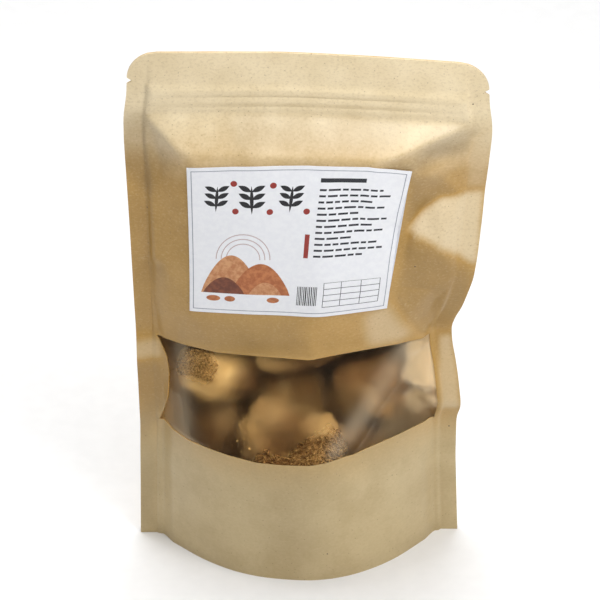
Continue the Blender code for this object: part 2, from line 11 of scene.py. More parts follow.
import bmesh
import bpy
import numpy as np
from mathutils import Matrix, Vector, kdtree, noise
from mathutils.geometry import delaunay_2d_cdt


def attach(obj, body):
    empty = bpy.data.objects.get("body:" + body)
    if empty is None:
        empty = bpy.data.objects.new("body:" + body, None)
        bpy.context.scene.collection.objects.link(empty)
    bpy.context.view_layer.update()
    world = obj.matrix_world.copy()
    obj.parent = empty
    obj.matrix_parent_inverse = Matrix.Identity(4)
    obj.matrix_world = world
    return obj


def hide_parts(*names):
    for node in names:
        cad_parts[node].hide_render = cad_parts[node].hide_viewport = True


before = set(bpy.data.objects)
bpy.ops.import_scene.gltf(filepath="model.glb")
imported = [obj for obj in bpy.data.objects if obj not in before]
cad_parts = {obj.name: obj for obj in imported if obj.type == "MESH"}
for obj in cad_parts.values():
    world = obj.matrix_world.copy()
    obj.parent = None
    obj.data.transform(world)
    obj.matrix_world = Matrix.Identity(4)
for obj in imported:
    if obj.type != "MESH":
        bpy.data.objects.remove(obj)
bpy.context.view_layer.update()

MM = 0.001

# ---------------------------------------------------------------- camera, light and floor

CAMERA_RISE = math.radians(36)
CAMERA_DISTANCE = 2500
CAMERA_TARGET = Vector((-3.5, 0, 129))
CAMERA_LENS = 339
SENSOR_WIDTH = 36
WORLD_STRENGTH = 0.17
# Each lamp as (place, target, size in metres, power in watts).
LAMPS = {
    "soft_box": ((0, -250, 600), (0, 0, 150), (0.35, 0.3), 0.9),
    "soft_box_right": ((220, -230, 600), (0, 0, 150), (0.3, 0.3), 1.45),
    "low_right": ((1100, -500, 250), (0, 0, 120), (0.6, 0.5), 1.5),
    "overhead": ((-100, 350, 1200), (0, 0, 120), (0.9, 0.7), 13.5),
}


def look_at(thing, stand, target):
    thing.location = Vector(stand) * MM
    turn = (Vector(target) - Vector(stand)).to_track_quat("-Z", "Y")
    thing.rotation_euler = turn.to_euler()
    bpy.context.scene.collection.objects.link(thing)


def add_camera():
    lens = bpy.data.cameras.new("camera")
    lens.lens = CAMERA_LENS
    lens.sensor_width = SENSOR_WIDTH
    lens.clip_end = 20
    camera = bpy.data.objects.new("camera", lens)
    back = Vector((0, -math.cos(CAMERA_RISE), math.sin(CAMERA_RISE)))
    look_at(camera, CAMERA_TARGET + back * CAMERA_DISTANCE, CAMERA_TARGET)
    bpy.context.scene.camera = camera


def add_light():
    for name, (stand, target, size, power) in LAMPS.items():
        lamp = bpy.data.lights.new(name, "AREA")
        lamp.shape = "RECTANGLE"
        lamp.size, lamp.size_y = size
        lamp.energy = power
        look_at(bpy.data.objects.new(name, lamp), stand, target)
    world = bpy.data.worlds.new("studio")
    world.use_nodes = True
    background = world.node_tree.nodes["Background"]
    background.inputs["Color"].default_value = (1, 1, 1, 1)
    background.inputs["Strength"].default_value = WORLD_STRENGTH
    bpy.context.scene.world = world
    bpy.context.scene.view_settings.view_transform = "Standard"


# ---------------------------------------------------------------- material helpers


def new_material(name, roughness, **values):
    made = bpy.data.materials.new(name)
    made.use_nodes = True
    tree = made.node_tree
    shader = tree.nodes["Principled BSDF"]
    shader.inputs["Roughness"].default_value = roughness
    for socket, value in values.items():
        shader.inputs[socket.replace("_", " ")].default_value = value
    return made, tree, shader


def node(tree, kind, inputs=None, **settings):
    made = tree.nodes.new("ShaderNode" + kind)
    for name, value in settings.items():
        setattr(made, name, value)
    for name, value in (inputs or {}).items():
        if isinstance(value, bpy.types.NodeSocket):
            tree.links.new(value, made.inputs[name])
        else:
            made.inputs[name].default_value = value
    return made


def maths(tree, operation, first, second=0.5, third=0.0):
    made = node(tree, "Math", {0: first, 1: second, 2: third}, operation=operation)
    return made.outputs[0]


def times(tree, first, second):
    return maths(tree, "MULTIPLY", first, second)


def carried(tree, name):
    """A number that each point of the mesh carries."""
    return node(tree, "Attribute", attribute_name=name).outputs["Fac"]


def object_place(tree):
    return node(tree, "TexCoord").outputs["Object"]


def ramp(tree, value, low, high, start=0.0, end=1.0):
    made = node(
        tree, "MapRange", {"Value": value, "From Min": low, "From Max": high, "To Min": start,
                           "To Max": end},
        interpolation_type="SMOOTHSTEP",
    )
    return made.outputs["Result"]


def blend(tree, share, first, second):
    made = node(tree, "Mix", data_type="RGBA")
    for place, value in ((0, share), (6, first), (7, second)):
        if isinstance(value, bpy.types.NodeSocket):
            tree.links.new(value, made.inputs[place])
        else:
            made.inputs[place].default_value = value if place == 0 else (*value, 1)
    return made.outputs[2]


def mottled(tree, texture, first, second, low=0.3, high=0.7):
    """One colour where the texture is low and another where it is high."""
    return blend(tree, ramp(tree, texture, low, high), first, second)


def specks(tree, vector, scale, size, axis, rarity):
    """Round specks in the few cells of a pattern that a random number picks out."""
    cells = node(tree, "TexVoronoi", {"Vector": vector, "Scale": scale, "Randomness": 1})
    spot = ramp(tree, cells.outputs["Distance"], *size, 1, 0)
    chance = node(tree, "SeparateXYZ", {0: cells.outputs["Color"]}).outputs[axis]
    return times(tree, spot, ramp(tree, chance, *rarity))


def stretched(tree, vector, scale):
    return node(tree, "Mapping", {"Vector": vector, "Scale": scale}).outputs[0]


def clouds(tree, vector, scale, detail=3.0, roughness=0.55, distortion=0.0):
    made = node(
        tree, "TexNoise",
        {"Vector": vector, "Scale": scale, "Detail": detail, "Roughness": roughness,
         "Distortion": distortion},
    )
    return made.outputs["Fac"]


def relief(tree, shader, height, distance, strength=1.0):
    made = node(tree, "Bump", {"Height": height, "Distance": distance, "Strength": strength})
    tree.links.new(made.outputs[0], shader.inputs["Normal"])


# ---------------------------------------------------------------- materials


def kraft_material():
    """Brown kraft paper with a film inside: finely mottled and speckled, worn pale at folds.

    Painted light: the header and lower panel are partly painted paler, and facets carry painted
    highlights and shade.
    """
    made, tree, shader = new_material("kraft_paper", 0.4, Specular_IOR_Level=0.5)
    place = object_place(tree)
    flat = node(tree, "UVMap", uv_map="flat").outputs[0]
    height_up = node(tree, "SeparateXYZ", {0: flat}).outputs["Y"]
    mottle = clouds(tree, place, 45, 5, 0.6)
    cloud = clouds(tree, place, 900, 4, 0.7)
    fibre = clouds(tree, stretched(tree, flat, (600, 1000, 1)), 1.0, 3, 0.6)

    middle = mottled(tree, mottle, (0.455, 0.263, 0.06), (0.54, 0.32, 0.09))
    # The header and the lower panel are paler than the middle: partly the paper's own tone and
    # partly painted light, a painted sheen on the header.
    header = mottled(tree, mottle, (0.75, 0.61, 0.38), (0.85, 0.71, 0.47))
    lower = mottled(tree, mottle, (0.53, 0.40, 0.20), (0.62, 0.485, 0.26))
    swayed = maths(tree, "MULTIPLY_ADD", mottle, 0.02, height_up)
    even = carried(tree, "even")
    uneven = maths(tree, "SUBTRACT", 1, times(tree, even, 0.7))
    above = times(tree, ramp(tree, swayed, 0.204, 0.243), uneven)
    below = times(tree, ramp(tree, swayed, 0.055, 0.095, 1, 0), uneven)
    colour = blend(tree, above, middle, header)
    colour = blend(tree, below, colour, lower)
    # The carried share paints highlights on facets facing the light where it is above 0 and shade on
    # facets facing away where it is below 0; on the back it evenly pales the paper.
    pale_and_painted_shading = carried(tree, "pale_and_painted_shading")
    colour = blend(tree, maths(tree, "MAXIMUM", pale_and_painted_shading, 0), colour, (0.80, 0.67, 0.45))
    colour = blend(tree, times(tree, maths(tree, "MINIMUM", pale_and_painted_shading, 0), -1), colour,
                   (0.18, 0.12, 0.05))
    grain = maths(tree, "MULTIPLY_ADD", fibre, 0.5, times(tree, cloud, 0.5))
    coarse = ramp(tree, swayed, 0.06, 0.23, 0.5, 1)
    dark = times(tree, ramp(tree, grain, 0.36, 0.52, 0.2, 0), coarse)
    light = times(tree, ramp(tree, grain, 0.5, 0.64, 0, 0.14), coarse)
    colour = blend(tree, dark, colour, (0.30, 0.17, 0.06))
    colour = blend(tree, light, colour, (0.86, 0.72, 0.48))

    grains = specks(tree, place, 700, (0.10, 0.24), "X", (0.86, 0.92))
    colour = blend(tree, times(tree, grains, 0.5), colour, (0.21, 0.11, 0.045))
    bits = specks(tree, place, 110, (0.025, 0.05), "Y", (0.93, 0.94))
    colour = blend(tree, bits, colour, (0.07, 0.035, 0.02))

    worn = carried(tree, "worn")
    broken = times(tree, worn, ramp(tree, cloud, 0.35, 0.7))
    colour = blend(tree, broken, colour, (0.80, 0.66, 0.46))
    tree.links.new(colour, shader.inputs["Base Color"])
    tree.links.new(ramp(tree, cloud, 0.3, 0.7, 0.32, 0.44), shader.inputs["Roughness"])
    height = maths(tree, "MULTIPLY_ADD", fibre, 0.4, times(tree, cloud, 0.5))
    relief(tree, shader, height, 0.00006)
    return made


def film_material():
    """Frosted clear film, clouded white where it is creased, with painted highlights along its folds
    and on its crumpled end. Lamps shine through it.

    Frosting hides what lies far behind it and shows what touches it, so the film is clearer there.
    """
    made, tree, shader = new_material(
        "frosted_film", 0.3, Transmission_Weight=1.0, IOR=1.15, Base_Color=(0.95, 0.84, 0.66, 1),
    )
    place = object_place(tree)
    smudge = clouds(tree, place, 60, 3, 0.6, 0.4)
    fine = clouds(tree, place, 900, 3, 0.7)
    clouding_and_highlight = carried(tree, "clouding_and_highlight")
    touched = carried(tree, "touched")
    warm = carried(tree, "warm")
    # Where the carried share is high the film turns pale and diffuse: whitening along its folds and
    # painted highlights.
    uneven = times(tree, clouding_and_highlight, ramp(tree, smudge, 0.25, 0.7, 0.8, 1.15))
    tree.links.new(maths(tree, "SUBTRACT", 1, uneven), shader.inputs["Transmission Weight"])
    # The crumpled end's painted highlights are tinted warm like the paper.
    tree.links.new(
        blend(tree, warm, (0.95, 0.84, 0.66), (0.92, 0.75, 0.49)), shader.inputs["Base Color"],
    )
    frost = ramp(tree, smudge, 0.3, 0.75, 0.5, 0.62)
    roughness = times(tree, frost, ramp(tree, touched, 0, 1, 1, 0.18))
    tree.links.new(roughness, shader.inputs["Roughness"])
    height = maths(tree, "MULTIPLY_ADD", smudge, 0.6, times(tree, fine, 0.25))
    relief(tree, shader, height, 0.0002, 0.5)
    paths = node(tree, "LightPath")
    through = node(tree, "BsdfTransparent", {"Color": (0.97, 0.91, 0.80, 1)})
    mixed = node(
        tree, "MixShader", {0: paths.outputs["Is Shadow Ray"], 1: shader.outputs[0],
                            2: through.outputs[0]},
    )
    tree.links.new(mixed.outputs[0], tree.nodes["Material Output"].inputs["Surface"])
    return made


def print_material(name, colour, other=None):
    """Coated sticker paper, bare or printed: a faint screen of ink over a smooth, glossy coat."""
    made, tree, shader = new_material(
        name, 0.32, Specular_IOR_Level=0.3, Coat_Weight=0.15, Coat_Roughness=0.16,
    )
    place = object_place(tree)
    fine = clouds(tree, place, 400, 3, 0.6)
    other = other or tuple(0.93 * part for part in colour)
    tree.links.new(mottled(tree, fine, colour, other, 0.35, 0.65), shader.inputs["Base Color"])
    wide = clouds(tree, place, 90, 2)
    height = maths(tree, "MULTIPLY_ADD", wide, 1.0, times(tree, fine, 0.12))
    relief(tree, shader, height, 0.0003, 0.5)
    return made


def mushroom_material():
    """Dried mushroom: pale smooth skin and golden brown spines.

    Painted shade darkens the hollows, the gaps between lumps and the spines' roots.
    """
    made, tree, shader = new_material("dried_mushroom", 0.75, Specular_IOR_Level=0.3)
    place = object_place(tree)
    spiny = carried(tree, "spiny")
    tone = carried(tree, "tone")
    fine = clouds(tree, place, 700, 4, 0.65)
    wide = clouds(tree, place, 90, 3)
    skin = mottled(tree, wide, (0.74, 0.56, 0.29), (0.90, 0.74, 0.45))
    pale = carried(tree, "pale")
    # Near black where the patches paint shade, in the hollows and between lumps.
    skin = blend(tree, pale, (0.07, 0.035, 0.014), skin)
    # Spines run from near black at their roots, painted shade among them, to golden at their tips.
    spine = blend(tree, tone, (0.10, 0.05, 0.02), (0.93, 0.68, 0.34))
    colour = blend(tree, spiny, skin, spine)
    colour = blend(tree, ramp(tree, fine, 0.42, 0.6, 0.3, 0), colour, (0.28, 0.15, 0.06))
    tree.links.new(colour, shader.inputs["Base Color"])
    relief(tree, shader, maths(tree, "MULTIPLY_ADD", fine, 1.0, wide), 0.0006)
    return made


def zip_material():
    made, tree, shader = new_material(
        "zip_plastic", 0.3, Transmission_Weight=0.6, IOR=1.46, Base_Color=(0.88, 0.88, 0.86, 1),
    )
    place = object_place(tree)
    drawn = clouds(tree, stretched(tree, place, (60, 900, 900)), 1.0, 3)
    tree.links.new(ramp(tree, drawn, 0.3, 0.7, 0.22, 0.38), shader.inputs["Roughness"])
    relief(tree, shader, drawn, 0.0001)
    return made


def floor_material():
    made, tree, shader = new_material("pale_floor", 0.7, Specular_IOR_Level=0.2)
    place = object_place(tree)
    fine = clouds(tree, place, 120, 2)
    colour = mottled(tree, fine, (0.90, 0.90, 0.90), (0.92, 0.92, 0.92))
    tree.links.new(colour, shader.inputs["Base Color"])
    return made


# ---------------------------------------------------------------- the pouch's shape

POUCH_WIDTH = 160.0
POUCH_HEIGHT = 260.0
GUSSET_HALF = 42.0
SEAL_WIDTH = 8.5
CORNER_RADIUS = 13.0
NOTCH_HEIGHT = 245.5
NOTCH_HALF = 1.7
NOTCH_DEPTH = 2.4
SKIRT = 5.0
LEAST_RISE = 10.0
GUSSET_SAG = 2.0
RIDGE_HALF = 0.6
GUSSET_TOP = 44.0
CLOSED_FROM = 57.0
HALF = POUCH_WIDTH / 2
SEAL_LINE = HALF - SEAL_WIDTH
FILM_END = SEAL_LINE - 1.3
OPENING = 1.0
SEAL_LIFT = 0.5
WAVE_INNER = 55.0
STRAIGHT_INNER = 60.0
PAPER = 0.35
FILM = 0.12
LABEL = 0.15
LABEL_LIFT = 0.15
FILM_GAP = 0.12
FILM_TOP = 118.0
PANEL_GAP = 0.15
FOLDED_GAP = 0.95
GUSSET_GAP = 0.3

TOP_HEIGHT = 260.4
TOP_LEVEL_TO = -15.0
TOP_SINK = 6.5
TOP_SINK_POWER = 1.3

# Where the side edges stand, as (height, x).
LEFT_EDGE = [
    (0, -76.0), (30, -75.6), (62, -75.3), (95, -76.1), (108, -76.3), (167, -78.1),
    (215, -79.9), (227, -79.9), (238, -78.4), (260, -77.6),
]
RIGHT_EDGE = [
    (0, 68.2), (44, 66.7), (67, 66.8), (76, 68.6), (89, 67.2), (98, 65.8), (104, 64.5),
    (113, 63.9), (121, 65.5), (129, 68.3), (148, 72.6), (163, 74.6), (180, 76.5),
    (197, 77.9), (222, 79.8), (228, 79.8), (239, 78.4), (260, 77.6),
]
# How far each side seal waves towards the front, as (t, forward).
LEFT_WAVE = [
    (0, 1.0), (46, 1.0), (61, -0.8), (67, 0.8), (85, 0.3), (97, 2.2), (104, 0.8),
    (113, -2.0), (128, -0.4), (150, 0), (260, 0),
]
RIGHT_WAVE = [
    (0, -1.5), (46, -1.5), (60, -0.5), (67, 0.5), (76, 4.5), (85, 2.0), (100, -3.8),
    (113, -6.3), (127, -0.5), (140, 3.8), (151, 6.6), (160, 6.2), (190, -4.2), (205, -1.6),
    (225, 0), (260, 0),
]


def lettered(name, *spots):
    """Fold points in a row, named name_a, name_b and so on."""
    return {f"{name}_{letter}": spot for letter, spot in zip("abcdefghijklm", spots)}


def both_sides(name, s, t, depth):
    return {f"{name}_left": (-s, t, depth), f"{name}_right": (s, t, depth)}


# Fold points of the panels, as (s, t, depth), and the folds that join them, where name_* stands
# for all the points lettered so. The header is the same at the front and at the back.
HEADER_POINTS = {
    **both_sides("top", 80, 260, 0), **both_sides("seal", 80, 247, 0),
    **both_sides("zip_top", 70, 244, 0.6), **both_sides("zip_rib", 69, 240, 1.7),
    **both_sides("zip_mid", 69, 237, 1.4), **both_sides("zip_low", 69, 233, 1.3),
}
HEADER_FOLDS = [
    f"zip_{line}_left zip_{line}_right" for line in ("top", "rib", "mid", "low")
]
FRONT_POINTS = {
    **HEADER_POINTS,
    "pocket_left": (-71, 229.5, 0.8), "pocket_right": (71, 228, 0.8),
    **lettered("pocket", (-35, 229.5, 1.0), (0, 229.2, 1.2), (35, 228.6, 1.0)),
    **lettered("shoulder", (-64.5, 207, 3.2), (-51.5, 212, 11.5), (-22.7, 213.5, 14.0),
               (5.5, 214.6, 14.8), (30.3, 213.7, 14.0), (48.6, 219.8, 8.5), (67.2, 227.3, 2.0)),
    **lettered("left_fold", (-64.8, 187, 4.4), (-65.2, 155, 6.8), (-65.8, 127, 5.0)),
    **lettered("label_left", (-52, 191, 12.2), (-52.5, 160, 13.2), (-52.5, 133, 13.2)),
    **lettered("ridge", (7.8, 209.5, 15.0), (7.4, 179.4, 17.0), (6.8, 147.8, 18.0),
               (8.3, 119.5, 16.5), (8.9, 107.5, 14.0)),
    **lettered("mid_left", (-22.7, 209, 14.3), (-22.7, 178, 15.6), (-22.4, 146.5, 16.8),
               (-18.9, 118, 14.6)),
    **lettered("mid_right", (26.8, 178, 13.2), (26.7, 145.3, 13.5), (27.8, 116, 11.0)),
    **lettered("label_right", (47.5, 208.5, 9.2), (46.2, 189.5, 7.0), (45, 149, 7.8)),
    **lettered("dimple", (47, 174, 5.2), (52.5, 183, 1.4), (60.5, 190, -0.4)),
    **lettered("brow", (50, 171.8, 8.4), (61.6, 167.3, 9.8), (70.5, 161, 7.4)),
    **lettered("cheek", (43.3, 144.3, 8.2), (60.4, 141.6, 6.2), (70.5, 141, 4.8)),
    "corner_fold": (54.5, 128.9, 6.2), "corner_end": (67, 113.9, -1.0),
    "under_label": (42.4, 126, 8.2), "right_plain": (58, 204, 3.6),
    **lettered("window", (-69, 110, 0.2), (-55.5, 109.1, 5.9), (-39, 108.1, 10.3),
               (-18.4, 107.4, 12.0), (28, 108, 10.8), (51, 109, 6.2)),
    **lettered("film_left", (-57.5, 106, 6.5), (-56.5, 86, 15.0), (-55.3, 66.2, 18.5)),
    "film_side": (-66.5, 88, 3.5),
    **lettered("film_mid", (-33.6, 90, 21.5), (-8, 88, 25.0), (12, 88, 25.5)),
    **lettered("film_fold", (64, 108, 1.0), (54.6, 98.6, 9.0), (38.5, 84, 20.0), (26.9, 66.8, 29.5)),
    **lettered("film_tuck", (56, 84, 6.5), (66, 84, 2.5)),
    **lettered("sill", (-70, 64, 1.2), (-55, 64.3, 16.9), (-43.4, 64.6, 24.8), (-35.3, 64.7, 29.2),
               (-20.3, 65.1, 35.3), (-8.8, 65.3, 37.3), (5.5, 65.7, 38.0), (14.1, 65.8, 36.0),
               (25.7, 66.1, 30.1), (48.9, 66.6, 15.6), (69.4, 67, 1.0)),
    **lettered("low", (-70, 32, 2.6), (-62, 32, 9.5), (-53.5, 32, 18.3), (-35.5, 32, 29.5),
               (-19, 32, 35.6), (4.5, 32, 38.0), (22, 32, 33.6), (38, 32, 25.2), (51, 32, 16.3),
               (61.5, 32, 7.6), (70, 32, 0.5)),
    **lettered("rim", (-80, 0, 1.7), (-69.7, 0, 4.0), (-61.8, 0, 8.7), (-52, 0, 18.3),
               (-35.8, 0, 28.2), (-18, 0, 34.0), (3.8, 0, 36.4), (21.6, 0, 34.2), (38.3, 0, 27.2),
               (52.6, 0, 17.0), (61.7, 0, 6.8), (69.6, 0, 0.3), (80, 0, -2.1)),
    "dimple_d": (70, 189.5, -2.8),
}
FRONT_FOLDS = [
    *HEADER_FOLDS, "pocket_left pocket_* pocket_right",
    "pocket_left shoulder_a left_fold_* window_a", "shoulder_* pocket_right",
    "shoulder_b label_left_* window_b", "ridge_*", "dimple_a dimple_b dimple_c", "brow_*",
    "cheek_*", "cheek_a corner_fold corner_end",
    "window_a window_b window_c window_d ridge_e window_e window_f corner_end",
    "film_left_*", "film_fold_*", "sill_*", "low_*", "dimple_c dimple_d",
]
BACK_POINTS = {
    **HEADER_POINTS,
    "pocket_left": (-71, 229, 0.8), "pocket_mid": (0, 229, 1.2), "pocket_right": (71, 229, 0.8),
    **lettered("shoulder", (-63, 212, 4.0), (-44, 205, 11.0), (-15, 207, 13.5), (14, 205, 13.0),
               (42, 208, 10.0), (64, 216, 3.5)),
    **lettered("side_left", (-63, 170, 7.0), (-62, 130, 10.5), (-62, 95, 12.5)),
    **lettered("side_right", (62, 172, 6.5), (60, 128, 10.0), (61, 96, 12.0)),
    **lettered("mid", (-36, 168, 18.0), (-4, 172, 20.5), (30, 166, 18.5)),
    **lettered("belly", (-40, 128, 24.5), (-10, 132, 27.5), (14, 126, 28.0), (40, 130, 22.5)),
    **lettered("hip", (-44, 90, 26.0), (-20, 86, 33.5), (6, 90, 35.0), (28, 84, 32.5),
               (46, 88, 24.0)),
    **lettered("low", (-70, 50, 1.6), (-60, 48, 12.0), (-44, 46, 26.0), (-22, 48, 34.8),
               (2, 46, 37.4), (24, 48, 34.2), (42, 46, 26.5), (58, 48, 13.0), (70, 50, 1.4)),
    **lettered("rim", (-80, 0, -1.7), (-70, 0, 1.0), (-61, 0, 7.5), (-50, 0, 18.0),
               (-35, 0, 28.4), (-17, 0, 34.4), (1, 0, 36.4), (19, 0, 34.0), (36, 0, 27.8),
               (51, 0, 17.4), (62, 0, 7.5), (70, 0, 3.5), (80, 0, 2.1)),
}
BACK_FOLDS = [
    *HEADER_FOLDS, "pocket_left pocket_mid pocket_right", "pocket_left shoulder_* pocket_right",
    "shoulder_b mid_a belly_a hip_a low_c", "shoulder_e mid_c belly_d hip_e low_g", "low_*",
]

# The window in the front panel, over the flat plan.
WINDOW_TOP = [
    (-70, 110), (-39, 108.1), (-18, 107.2), (7, 106.9), (28, 109.2), (51, 111), (70, 110.3),
]
WINDOW_SILL = [(-70, 64), (-20, 65.1), (26, 66.1), (70, 67)]
WINDOW_SIDE_BOW = [
    (64, -2.2), (70, 0.8), (80, 3.6), (92, 4.7), (100, 4.0), (106, 0.8), (110, -1.8),
]
WINDOW_LEFT = -68.5
WINDOW_RIGHT = 68.5
SILL_ROW = 65.0
LINTEL_ROW = 108.5
LABEL_LEFT, LABEL_RIGHT, LABEL_LOW, LABEL_HIGH = -52.5, 44.8, 133.0, 209.0
# The sticker isn't quite square on the paper: how far its right and top edges are off.
LABEL_RIGHT_OFF = [
    (133, -2.6), (150, -3.6), (162, -3.6), (175, -2.8), (185, -2.0), (195, -0.6), (209, 1.0),
]
LABEL_TOP_OFF = [(-52.5, -1), (-33, 1), (0, 3), (26, 3), (35, 1.5), (45, -1)]

FIELD_STEP = 0.5


def along(table, value):
    places, amounts = zip(*table)
    return np.interp(value, places, amounts)


def rounded(table, value):
    """The same, with the table's corners rounded off."""
    return np.mean([along(table, value + step) for step in (-3, -2, -1, 0, 1, 2, 3)], axis=0)


def top_height(s):
    sunk = np.clip((np.asarray(s, float) - TOP_LEVEL_TO) / (HALF - TOP_LEVEL_TO), 0, 1)
    return TOP_HEIGHT - TOP_SINK * sunk**TOP_SINK_POWER


def half_width(t):
    """Half the flat width at t, less the rounded corners and the tear notches."""
    width = HALF
    rise = t - (POUCH_HEIGHT - CORNER_RADIUS)
    if rise > 0:
        width -= CORNER_RADIUS - math.sqrt(max(CORNER_RADIUS**2 - rise**2, 0))
    from_notch = abs(t - NOTCH_HEIGHT)
    if from_notch < NOTCH_HALF:
        width -= NOTCH_DEPTH * (1 - from_notch / NOTCH_HALF)
    return width


def blurred(field, width):
    reach = int(3 * width / FIELD_STEP) + 1
    steps = np.arange(-reach, reach + 1) * FIELD_STEP
    weights = np.exp(-(steps**2) / (2 * width**2))
    weights /= weights.sum()
    for axis in (0, 1):
        pad = [(0, 0), (0, 0)]
        pad[axis] = (reach, reach)
        wide = np.pad(field, pad, mode="edge")
        field = np.apply_along_axis(np.convolve, axis, wide, weights, "valid")
    return field


class Field:
    """Numbers over the flat plan, read between its steps."""

    s = np.arange(-HALF, HALF + FIELD_STEP / 2, FIELD_STEP)
    t = np.arange(0, POUCH_HEIGHT + FIELD_STEP / 2, FIELD_STEP)
    across, up = np.meshgrid(s, t)

    def __init__(self, values):
        self.values = values

    def at(self, s, t):
        column = np.clip((np.asarray(s, float) + HALF) / FIELD_STEP, 0, len(self.s) - 1.001)
        row = np.clip(np.asarray(t, float) / FIELD_STEP, 0, len(self.t) - 1.001)
        i, j = column.astype(int), row.astype(int)
        u, v = column - i, row - j
        low = self.values[j, i] * (1 - u) + self.values[j, i + 1] * u
        high = self.values[j + 1, i] * (1 - u) + self.values[j + 1, i + 1] * u
        return low * (1 - v) + high * v


def cockle(width, seed):
    """Smooth random relief, about 1 at its highest, with swells about width across."""
    rough = np.random.default_rng(seed).normal(size=Field.across.shape)
    smooth = blurred(rough, width)
    return smooth / np.abs(smooth).max()


def spelled_out(fold, points):
    """The names of the points along a fold."""
    names = []
    for name in fold.split():
        names += [one for one in points if one[:-1] == name[:-1]] if name[-1] == "*" else [name]
    return names


def folded(points, folds, forward):
    """Depth over the flat plan: flat facets between the fold points."""
    places = list(points.values())
    number = {name: i for i, name in enumerate(points)}
    lines = []
    for fold in folds:
        names = spelled_out(fold, points)
        lines += [(number[a], number[b]) for a, b in zip(names, names[1:])]
    for side, wave in ((-1, LEFT_WAVE), (1, RIGHT_WAVE)):
        inner = [(side * SEAL_LINE, t, forward * w + SEAL_LIFT) for t, w in wave if t < NOTCH_HEIGHT]
        for extra in ([(side * HALF, t, forward * w) for t, w in wave], inner):
            start = len(places)
            places += extra
            lines += [(start + i, start + i + 1) for i in range(len(extra) - 1)]
    flat = [Vector((s, t)) for s, t, _ in places]
    corners, _, facets, origins, _, _ = delaunay_2d_cdt(flat, lines, [], 0, 1e-4)
    corners = np.array([tuple(corner) for corner in corners])
    known = [i for i, from_points in enumerate(origins) if from_points]
    depths = np.zeros(len(corners))
    for i in known:
        depths[i] = np.mean([places[j][2] for j in origins[i]])
    for i in set(range(len(corners))) - set(known):
        apart = np.linalg.norm(corners[known] - corners[i], axis=1)
        nearest = np.argsort(apart)[:3]
        weights = 1 / apart[nearest]
        depths[i] = np.sum(weights * depths[np.array(known)[nearest]]) / weights.sum()
    depth = np.zeros(Field.across.shape)
    for facet in facets:
        for k in range(1, len(facet) - 1):
            ids = [facet[0], facet[k], facet[k + 1]]
            a, b, c = corners[ids]
            doubled = (b[0] - a[0]) * (c[1] - a[1]) - (c[0] - a[0]) * (b[1] - a[1])
            if abs(doubled) < 1e-9:
                continue
            ds, dt = Field.across - a[0], Field.up - a[1]
            to_b = (ds * (c[1] - a[1]) - (c[0] - a[0]) * dt) / doubled
            to_c = ((b[0] - a[0]) * dt - ds * (b[1] - a[1])) / doubled
            inside = (to_b > -1e-6) & (to_c > -1e-6) & (to_b + to_c < 1 + 1e-6)
            da, db, dc = depths[ids]
            depth[inside] = (da + to_b * (db - da) + to_c * (dc - da))[inside]
    return depth


CREASE_FADE = 0.25


def add_crease(depth, start, end, height, width):
    """Presses a ridge or a groove along a line, fading over a quarter of it at each end."""
    line = np.subtract(end, start)
    length = np.hypot(*line)
    to_s, to_t = Field.across - start[0], Field.up - start[1]
    way = (to_s * line[0] + to_t * line[1]) / length
    off = np.abs(to_s * line[1] - to_t * line[0]) / length
    fade = np.clip(np.minimum(way, length - way) / (CREASE_FADE * length), 0, 1)
    depth += height * fade * np.exp(-off / width)


# Sharp folds pressed into the front, as (start, end, height, width).
FRONT_CREASES = [
    # The press-to-close strip shows through as two lines and the swell between them.
    ((-76, 237.6), (76, 238.4), -0.55, 0.5), ((-76, 232.4), (76, 233.6), -0.6, 0.5),
    ((-72, 241.4), (72, 241.6), 0.45, 1.4), ((-72, 235.2), (72, 236), 0.3, 0.8),
    # The shoulder's folds run to both top corners.
    ((-73, 231), (-52, 209.5), 0.8, 1.2), ((30, 213), (50, 220), 0.7, 1.2),
    ((47, 219), (69, 227.5), 0.8, 1.2),
    # The right side, from the dimple down to the fold that runs into the window's corner.
    ((44, 172), (56, 187), -0.9, 1.2), ((51, 181), (70, 190.5), -0.7, 1.3),
    ((47, 172.5), (64, 165.5), 0.5, 1.5), ((58, 168), (79, 154), 0.6, 1.8),
    ((42, 144.5), (63, 141.5), -0.5, 1.2), ((58, 142), (79, 137), -0.5, 1.3),
    ((42, 147), (56, 127), 0.9, 1.4), ((53, 131), (69, 111), 0.9, 1.4),
    ((50, 154), (62, 150.5), 0.2, 0.5), ((52, 158), (60, 161), 0.15, 0.5),
    ((-63, 160), (-62, 118), 0.5, 2.5),
    # The film: the long diagonal fold, the left one and the crumpled right end.
    ((68, 110), (52, 96), 1.2, 2.0), ((56, 100), (37, 82), 1.5, 2.2),
    ((41, 87), (26, 64), 1.3, 2.2), ((-61, 108), (-57, 64), 0.9, 1.8),
    ((51, 99), (59, 87), 0.9, 1.1), ((56, 91), (71, 82.5), 1.3, 1.2),
    ((60, 86), (70, 76), 1.2, 1.2), ((53, 82), (67, 84.5), -1.0, 1.2),
]
